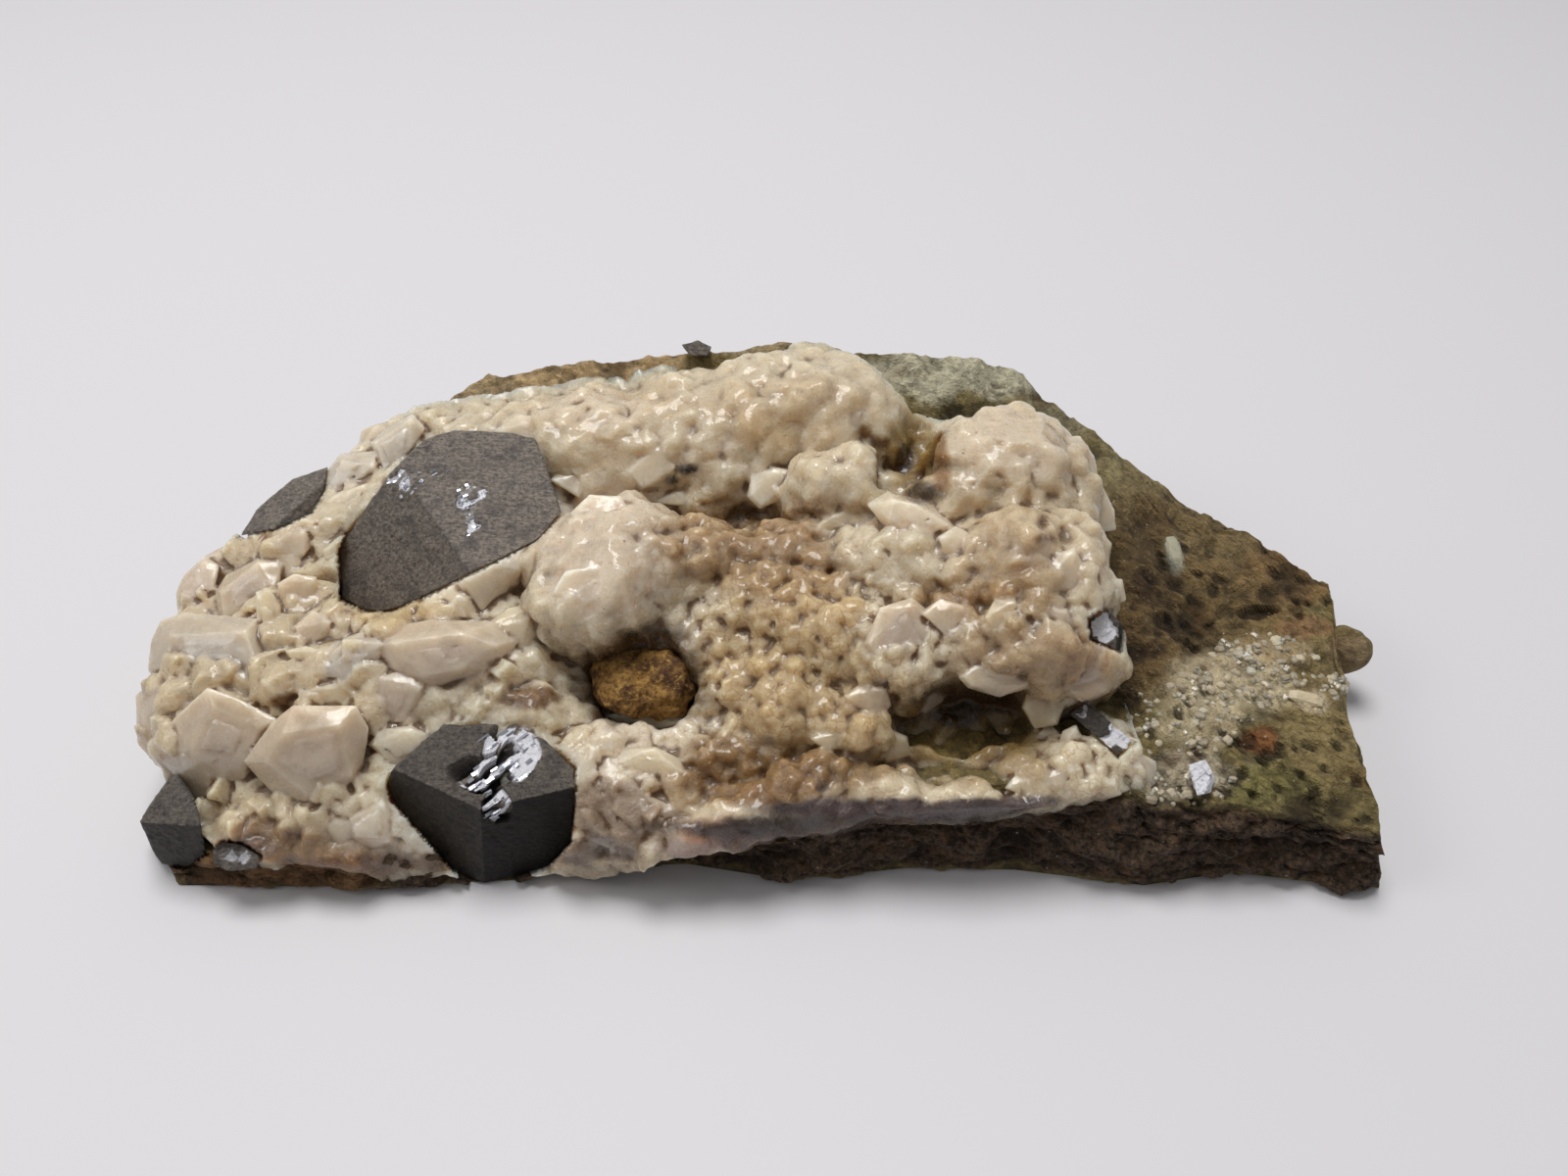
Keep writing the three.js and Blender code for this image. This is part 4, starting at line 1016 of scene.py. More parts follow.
# [pixel x, pixel y, height, half width, half length up the lean, half thickness]
CRUST_LUMPS = [
    [220, 700, 11, 6.5, 8, 6],
    [300, 700, 11.5, 11, 10, 7],
    [330, 560, 13, 9, 8, 6],
    [450, 520, 15.5, 13, 9, 7],
    [430, 660, 13.2, 13, 9, 7],
    [375, 800, 8.2, 10, 5, 6],
    [250, 844, 6.2, 5.6, 2.8, 3],
    [325, 858, 5.2, 6, 2.4, 3],
    [400, 840, 5.6, 7, 3, 4],
    [480, 720, 11, 8, 4, 5],
    [590, 780, 9.2, 8, 4, 5],
    [640, 810, 8, 9, 4.5, 5],
    [600, 850, 4.8, 6, 2.6, 4],
    [680, 800, 8.4, 6, 4, 4],
    [480, 450, 17, 9, 6, 5],
    [610, 440, 19, 12, 6.5, 6],
    [740, 420, 20.2, 13, 7, 7],
    [820, 400, 21, 9, 7, 6],
    [870, 480, 20, 6, 4, 5],
    [600, 590, 17.6, 4.6, 4.2, 5],
    [622, 545, 18.4, 6.2, 4.4, 5],
    [560, 560, 17, 4, 3.6, 4],
    [612, 568, 18.4, 6.4, 6.0, 5.5],
    [700, 570, 16.6, 6, 5, 5],
    [770, 610, 15.2, 8, 6.5, 6],
    [800, 556, 16.8, 8, 3.2, 3.5],
    [800, 690, 12.6, 8, 5.5, 6],
    [740, 760, 9.6, 8, 3.6, 5],
    [700, 840, 6.8, 5, 3, 3],
    [770, 825, 8.0, 5, 2.6, 3],
    [840, 808, 8.9, 5.5, 2.4, 3],
    [910, 802, 9.2, 4.5, 2, 2.6],
    [985, 813, 8.8, 5.2, 1.8, 2.2],
    [1050, 818, 8.4, 3.2, 1.5, 2.0],
    [850, 630, 15.6, 7, 5.5, 6],
    [870, 720, 12, 5, 3.6, 4.5],
    [915, 650, 15.8, 4.6, 4.6, 5],
    [930, 560, 18.2, 6, 4.6, 5],
    [1036, 466, 22.4, 7.8, 6.2, 8],
    [1060, 560, 20.4, 7, 6.5, 8],
    [1095, 600, 18.4, 4.2, 6, 7],
    [1050, 640, 17.4, 5.6, 4.6, 6],
    [985, 640, 16.8, 5, 4, 5.5],
    [1115, 670, 15, 2.4, 2.8, 5],
    [1085, 690, 13.4, 2.6, 2.4, 4],
    [985, 745, 9.6, 8, 3.6, 4],
    [1090, 785, 9.8, 5.4, 2.8, 3.6],
    [1140, 770, 9.6, 3.2, 3, 3],
]
# [pixel x, pixel y, height about there, half width, half length, depth]
CRUST_HOLLOWS = [
    [657, 688, 12.6, 5.2, 3.4, 6.5],
    [922, 468, 19.4, 2.7, 3.3, 5.5],
    [990, 728, 11.5, 6.2, 2.5, 4.2],
    [525, 716, 12.6, 1.3, 1.1, 2.2],
    [288, 722, 11.6, 1.2, 1.2, 2.2],
    [702, 478, 19.2, 0.9, 0.5, 1.6],
    [684, 488, 18.6, 0.6, 0.4, 1.2],
    [757, 528, 17.6, 1.0, 0.8, 1.6],
    [1066, 540, 20.2, 0.4, 0.9, 1.0],
]
# [x, height of its underside]
CRUST_FLOOR = [
    [-48.6, 3.4], [-42.6, 1.8], [-30.6, 2.6], [-0.6, 4.5], [26.4, 6.5],
]
CRUST_ROUGH = (0.35, 5)  # height and length of the long waves
CRUST_WARP = ([[0.9, 3.0, 51], [0.35, 1.1, 52]], [[0.9, 3.0, 53], [0.35, 1.1, 54]])
CRUST_UNEVEN = [[0.3, 1.7, 55], [0.14, 0.8, 56]]  # where there is no druse
CRUST_SWELL = [[0.35, 3.4, 57]]
CRUST_COLUMNS = 430
CRUST_ROWS = 225
CRUST_LEAST = -3  # its height out of the plane where no lump lies
BARE_END_SUNK = 3  # how far the bed's right end dips there
HOLLOW_STEEP = 2.2  # how steep a hollow's walls are
HOLLOW_ROUNDS = 14  # rounds of blurring against which hollows are measured
HOLLOW_LEVELS = (0.06, 0.6)  # depths between which a place counts as a hollow

LEAN_U = np.array([1, 0, 0])
LEAN_V = np.array([0, np.cos(CRUST_LEAN), np.sin(CRUST_LEAN)])
LEAN_W = np.array([0, -np.sin(CRUST_LEAN), np.cos(CRUST_LEAN)])
LEAN_START = np.array([0, 0, CRUST_LEVEL])

WHITE = paint(230, 214, 192)
CREAM = paint(214, 198, 170)
TAN = paint(196, 170, 134)
PINKISH = paint(198, 178, 146)
YELLOWISH = paint(199, 170, 120)
BUFF = paint(164, 131, 94)
BROWN = paint(112, 80, 48)
# The next colour is painted shade, for hollows, cracks and places under overhangs.
SHADE_DARK = paint(44, 30, 18)
OCHRE = paint(138, 100, 54)
RUST = paint(176, 120, 88)
LILAC = paint(88, 70, 68)
# [pixel x, pixel y, half width, half height, colour, strength]
CRUST_PATCHES = [
    [260, 700, 150, 190, PINKISH, 0.8],
    [430, 660, 120, 60, CREAM, 0.7],
    [400, 620, 60, 26, YELLOWISH, 0.6],
    [640, 450, 170, 60, TAN, 0.6],
    [715, 452, 50, 20, WHITE, 0.6],
    [600, 420, 60, 24, WHITE, 0.5],
    [560, 470, 50, 30, CREAM, 0.7],
    [800, 420, 90, 50, TAN, 0.6],
    [770, 440, 50, 22, paint(188, 160, 118), 0.7],
    [690, 440, 60, 26, CREAM, 0.6],
    [790, 490, 90, 26, CREAM, 0.7],
    [615, 560, 90, 80, paint(214, 196, 172), 1.0],
    [722, 560, 56, 60, paint(162, 131, 92), 0.8],
    [800, 570, 80, 50, paint(152, 122, 86), 0.9],
    [850, 520, 50, 16, BUFF, 0.7],
    [900, 560, 60, 40, CREAM, 0.8],
    [830, 680, 130, 100, paint(192, 162, 116), 0.8],
    [920, 640, 60, 60, CREAM, 0.8],
    [1050, 520, 110, 120, paint(196, 174, 142), 0.9],
    [1040, 450, 80, 36, WHITE, 0.5],
    [1110, 540, 36, 70, CREAM, 0.5],
    [1040, 580, 70, 40, paint(182, 156, 122), 0.7],
    [1000, 610, 90, 26, paint(166, 138, 100), 0.8],
    [1040, 680, 90, 60, paint(168, 140, 104), 0.8],
    [1115, 685, 34, 40, BUFF, 0.7],
    [580, 700, 36, 70, CREAM, 0.8],
    [650, 740, 60, 18, WHITE, 0.9],
    [640, 780, 80, 24, WHITE, 0.7],
    [640, 830, 70, 40, paint(150, 128, 108), 0.9],
    [700, 800, 40, 26, TAN, 0.7],
    [790, 790, 110, 34, paint(130, 94, 50), 0.9],
    [760, 770, 80, 24, paint(138, 108, 70), 0.8],
    [880, 780, 60, 20, paint(138, 110, 72), 0.85],
    [990, 750, 90, 50, paint(132, 108, 62), 0.95],
    [1010, 788, 90, 16, paint(170, 148, 116), 0.6],
    [1130, 790, 70, 34, CREAM, 0.8],
    [735, 846, 50, 20, RUST, 0.8],
    # The lilac seam under the crust's front edge, its own lilac grey painted darker as shade where it faces
    # down and forward, and a dark band of painted shade along the crust's lowest strip.
    [920, 824, 170, 11, LILAC, 1.0],
    [780, 858, 60, 16, LILAC, 0.9],
    [700, 868, 40, 16, paint(170, 152, 146), 0.8],
    [1020, 820, 76, 9, paint(84, 72, 70), 1.0],
    [900, 842, 270, 14, paint(54, 40, 34), 0.95],
    [838, 804, 7, 7, paint(62, 60, 64), 1.0],
    [928, 464, 36, 44, paint(150, 124, 68), 0.9],
    # Painted shade: in the hole at the top right, in the hollow round the ochre lump under the white mass,
    # and under the overhang of the lower right hollow.
    [922, 472, 14, 20, SHADE_DARK, 0.9],
    [655, 690, 72, 56, paint(58, 40, 24), 0.95],
    [990, 716, 60, 22, SHADE_DARK, 0.9],
    [545, 712, 34, 16, BROWN, 0.9],
    [290, 718, 14, 12, BROWN, 0.9],
    [400, 850, 60, 36, WHITE, 0.9],
    [300, 864, 120, 26, paint(138, 106, 74), 0.85],
    [390, 880, 110, 14, paint(116, 82, 52), 0.85],
    # Painted shadow under the galena chip.
    [250, 868, 40, 12, paint(96, 76, 66), 0.8],
    [600, 868, 60, 14, paint(92, 70, 58), 0.8],
    # Painted shade in small hollows and cracks.
    [702, 478, 13, 6, SHADE_DARK, 1.0],
    [684, 488, 9, 5, SHADE_DARK, 1.0],
    [662, 500, 15, 4, BROWN, 1.0],
    [755, 526, 16, 10, SHADE_DARK, 0.8],
    [825, 522, 24, 4, BROWN, 0.9],
    [884, 440, 8, 9, OCHRE, 0.9],
    [962, 472, 9, 36, OCHRE, 0.9],
    [942, 504, 22, 12, SHADE_DARK, 0.9],
    [898, 450, 14, 7, BROWN, 0.9],
    [1064, 532, 6, 9, BROWN, 0.9],
    [1066, 551, 16, 5, BROWN, 0.8],
    [1048, 508, 4, 14, paint(150, 108, 60), 0.8],
    [1042, 580, 18, 14, BUFF, 0.9],
    [990, 606, 60, 10, BUFF, 0.8],
]
# How far small crystals cover the crust, and how blocky it is under them:
# [pixel x, pixel y, half width, half height, druse, blocks]
CRUST_GROWTH = [
    [260, 700, 160, 190, 0.25, 1.0],
    [450, 640, 120, 90, 0.35, 0.9],
    [640, 450, 190, 70, 0.16, 0.32],
    [820, 410, 130, 64, 0.14, 0.3],
    [560, 400, 130, 44, 0.2, 0.4],
    [790, 490, 110, 40, 0.25, 0.4],
    [600, 560, 90, 90, 0.06, 0.28],
    [720, 570, 70, 80, 0.8, 0.3],
    [800, 570, 70, 40, 0.8, 0.3],
    [830, 680, 160, 120, 1.0, 0.35],
    [930, 560, 60, 40, 0.45, 0.6],
    [1050, 500, 120, 120, 0.1, 0.55],
    [1000, 620, 110, 30, 0.9, 0.5],
    [580, 740, 60, 90, 0.6, 0.6],
    [640, 820, 90, 60, 0.5, 0.9],
    [790, 790, 120, 34, 0.9, 0.5],
    [900, 838, 230, 17, 0.0, 0.1],
    [1130, 780, 80, 40, 0.8, 0.8],
    [990, 745, 90, 50, 0.5, 0.4],
    [990, 716, 60, 20, 0.0, 0.2],
]
GROWTH_WANDER = ([[12, 2.2, 41]], [[12, 2.2, 42]])
BLOCK_SIZE = 2.7
BLOCK_RISE = (2.1, 0.6)  # height of each block's middle, and by lot
BLOCK_FILL = 0.35  # how far the bed fills the ground between blocks
DRUSE_GRAIN = 1.2
DRUSE_FINE = 0.65
DRUSE_RISE = (1.4, 0.2, 0.2)  # height of the grains, of the fine grains, and by lot
COLUMN_SHARES = ([0, 0.3, 1], -15)  # how the columns share the two sides of a place along X


def on_lean(points):
    """Where points lie on the leaning plane: along it, up it and out of it."""
    away = points - LEAN_START
    return away @ LEAN_U, away @ LEAN_V, away @ LEAN_W


def lean_rows(rows):
    """Rows of [pixel x, pixel y, height, sizes...] with the place turned into u, v and w."""
    table = np.array(rows, float)
    return np.c_[np.stack(on_lean(seen(table[:, 0], table[:, 1], table[:, 2])), -1), table[:, 3:]]


def crust_height(u, v):
    """Height of the crust out of the leaning plane: a lump is an ellipsoid's upper half, the
    tallest one rules, and each hollow cuts in."""
    w = np.full(np.shape(u), float(CRUST_LEAST))
    for cu, cv, cw, a, b, c in lean_rows(CRUST_LUMPS):
        inside = oval(u, v, cu, cv, a, b)
        top = np.where(inside > 0, cw - c + c * np.sqrt(np.clip(inside, 0, None)), CRUST_LEAST)
        w = np.maximum(w, top)
    for cu, cv, cw, a, b, c in lean_rows(CRUST_HOLLOWS):
        inside = oval(u, v, cu, cv, a, b)
        bottom = cw - c * np.clip(HOLLOW_STEEP * inside, 0, 1)
        w = np.where(inside > 0, np.minimum(w, bottom), w)
    return w


def blurred(values, times):
    """A grid of values, each replaced by the mean of itself and its neighbours, several times."""
    for _ in range(times):
        padded = np.pad(values, 1, mode="edge")
        values = (
            padded[1:-1, 1:-1] * 2
            + padded[:-2, 1:-1]
            + padded[2:, 1:-1]
            + padded[1:-1, :-2]
            + padded[1:-1, 2:]
        ) / 6
    return values


def growth(points):
    """How far small crystals cover each point and how blocky it is, from the table's ovals."""
    px, py = wandered(points, GROWTH_WANDER)
    druse = np.full(points.shape[:-1], 0.5)
    blocks = druse.copy()
    for *place, small, large in CRUST_GROWTH:
        share = smooth(oval(px, py, *place), -0.1, 0.5)
        druse += share * (small - druse)
        blocks += share * (large - blocks)
    return druse, blocks


def crust_surface():
    """The bed as rings from left to right. A ring runs up the lean from the front edge to the
    back edge and returns underneath. The height is that of the lumps, read at places shifted by
    clouds, and then each point moves along its normal: by round grains of two sizes where there
    is druse, by flat-sided ones where there are blocks, and by clouds elsewhere."""
    front = lean_rows(CRUST_FRONT_EDGE)
    back = lean_rows(CRUST_BACK_EDGE)
    start = max(front[0, 0], back[0, 0])
    end = min(front[-1, 0], back[-1, 0])
    shares, divide = COLUMN_SHARES
    along = np.interp(np.linspace(0, 1, CRUST_COLUMNS), shares, [start, divide, end])
    low, high = reading(front, along, 1), reading(back, along, 1)
    t = np.linspace(0, 1, CRUST_ROWS)
    u = np.broadcast_to(along[:, None], (CRUST_COLUMNS, CRUST_ROWS))
    v = low[:, None] * (1 - t) + high[:, None] * t
    flat = LEAN_START + u[..., None] * LEAN_U + v[..., None] * LEAN_V
    shift_u, shift_v = (clouds(flat, rows) for rows in CRUST_WARP)
    edge = smooth(np.minimum(t, 1 - t), 0, 0.05)
    w = crust_height(u + edge * shift_u, v + edge * shift_v)
    w -= BARE_END_SUNK * smooth(u, end - 4, end - 1) * (w < CRUST_LEAST + 0.1)
    points = flat + w[..., None] * LEAN_W
    points += (CRUST_ROUGH[0] * rough(points, CRUST_ROUGH[1]))[..., None] * LEAN_W

    normals = unit(np.cross(np.gradient(points, axis=0), np.gradient(points, axis=1)))
    druse, blocks = growth(points)
    near, _, own = grains(points, DRUSE_GRAIN, 61)
    near_fine, _, _ = grains(points, DRUSE_FINE, 71)
    near_block, _, own_block = grains(points, BLOCK_SIZE, 81, blocky=True)
    domes, fine_domes = (np.sqrt(np.clip(1 - n**2, 0.05, 1)) - 0.8 for n in (near, near_fine))
    coarse, fine, chance = DRUSE_RISE
    lift = druse * (coarse * domes + fine * fine_domes + chance * (own - 0.5))
    domed, stepped = BLOCK_RISE
    lift += blocks * (domed * (0.4 - near_block) + stepped * (own_block - 0.5) + BLOCK_FILL)
    lift += (1 - druse) * clouds(points, CRUST_UNEVEN)
    lift += clouds(points, CRUST_SWELL)
    points = points + normals * lift[..., None]

    level = points @ LEAN_W
    hollow = smooth(blurred(level, HOLLOW_ROUNDS) - level, *HOLLOW_LEVELS)
    nearest, farthest = points[:, 0], points[:, -1]
    floor = reading(CRUST_FLOOR, along, 1)
    behind = np.minimum(floor + 4, farthest[:, 2] - 1.5)
    under = [
        np.stack([along, farthest[:, 1] - 2.5, behind], -1),
        np.stack([along, nearest[:, 1] + 3, floor], -1),
        np.stack([along, nearest[:, 1] + 0.6, np.minimum(floor + 0.4, nearest[:, 2] - 0.6)], -1),
    ]
    rings = np.concatenate([points, np.stack(under, 1)], 1)
    return points, normals, rings, np.stack([along, low, high], -1), druse, blocks, hollow


def milky_material(name, weight, scale, roughness):
    """Milky crystal: the piece's own colour, clouded, stained brown in its joints, painted darker
    and browner in its hollows as shade and stain, painted lighter on its convex edges as a
    highlight, with light scattered inside it and a broken gloss. The scale is how far that
    light goes."""
    material, wire, place = new_material(name)
    cloudy = wire.noise(place, 0.7, 5.0, 0.62)
    veils = wire.noise(wire.stretched(place, (0.5, 1.4, 1.0)), 1.3, 4.0)
    fine = wire.noise(place, 4.5, 4.0, 0.6)
    clear = wire.mark("clear")
    druse = wire.mark("druse") * (1 - 0.8 * clear)
    warp = wire.node("ShaderNodeTexNoise", {}, {"Vector": place, "Scale": 1.4, "Detail": 2.0}, 1)
    shift = {0: place, 1: wire.darker(warp, 0.7)}
    warped = wire.node("ShaderNodeVectorMath", {"operation": "ADD"}, shift)
    grain = wire.cells(warped, 0.95)
    seam = wire.cells(warped, 0.95, "DISTANCE_TO_EDGE").between(0.08, 0.01) * druse
    seam *= cloudy.between(0.36, 0.58)
    dents = wire.cells(place, 1.15).between(0.24, 0.08) * cloudy.between(0.44, 0.56)
    dents *= 1 - 0.8 * clear
    base = wire.darker(wire.tone(), 0.8 + 0.34 * cloudy)
    veiled = veils.between(0.52, 0.68) * (0.45 - 0.25 * clear)
    base = veiled.blend(base, wire.darker(wire.tone(), 1.25))
    clouded = cloudy.between(0.48, 0.32) * (0.5 - 0.3 * clear)
    base = clouded.blend(base, wire.darker(wire.tone(), 0.66))
    # Painted highlight: convex edges are painted lighter.
    base = (wire.mark("rim") * (0.45 + 0.3 * clear)).blend(base, wire.darker(wire.tone(), 1.35))
    stain = wire.mark("joint") * (0.45 + 0.8 * wire.noise(place, 0.28, 2.0).between(0.35, 0.6))
    base = (stain.between(0.0, 0.9) * 0.85).blend(base, ink(118, 84, 46))
    # Painted shade and brown stain in hollows.
    base = (wire.mark("hollow") * 0.45).blend(base, ink(108, 78, 46))
    specks = wire.cells(place, 0.8).between(0.1, 0.05) * fine.between(0.52, 0.6)
    base = (specks * (0.8 - 0.5 * clear)).blend(base, ink(84, 58, 34))
    base = (seam * 0.5).blend(base, ink(146, 112, 66))
    base = (grain.between(0.3, 0.05) * druse * 0.35).blend(base, wire.darker(wire.tone(), 1.3))
    relief = (0.4 - 0.25 * clear) * (fine + 0.4 * wire.noise(place, 14.0, 2.0) - 1.6 * dents)
    relief -= druse * grain
    finish_material(
        wire,
        {
            "Base Color": base,
            "Roughness": roughness + 0.5 * (fine - 0.5) - 0.12 * dents - 0.08 * clear,
            "Subsurface Weight": weight,
            "Subsurface Radius": (1.0, 0.84, 0.66),
            "Subsurface Scale": scale * MM,
            "IOR": 1.52,
            "Coat Weight": 0.5,
            "Coat Roughness": 0.1,
            "Normal": wire.bump(relief, 0.3, 0.9),
        },
    )
    return material


crust_material = milky_material("crust", 1.0, 3.4, 0.3)
bed_points, bed_normals, rings, bed_edges, druse, blocks, hollow = crust_surface()


# Milky crystals. Blocks that stand out of the crust, half clear and flat-faced, grown into each
# other. Each is laid out by its outline in the view and sits on the crust behind it.
GLASSY = paint(200, 183, 165)
CLEAR_GREY = paint(202, 192, 178)
PALE = paint(220, 206, 184)
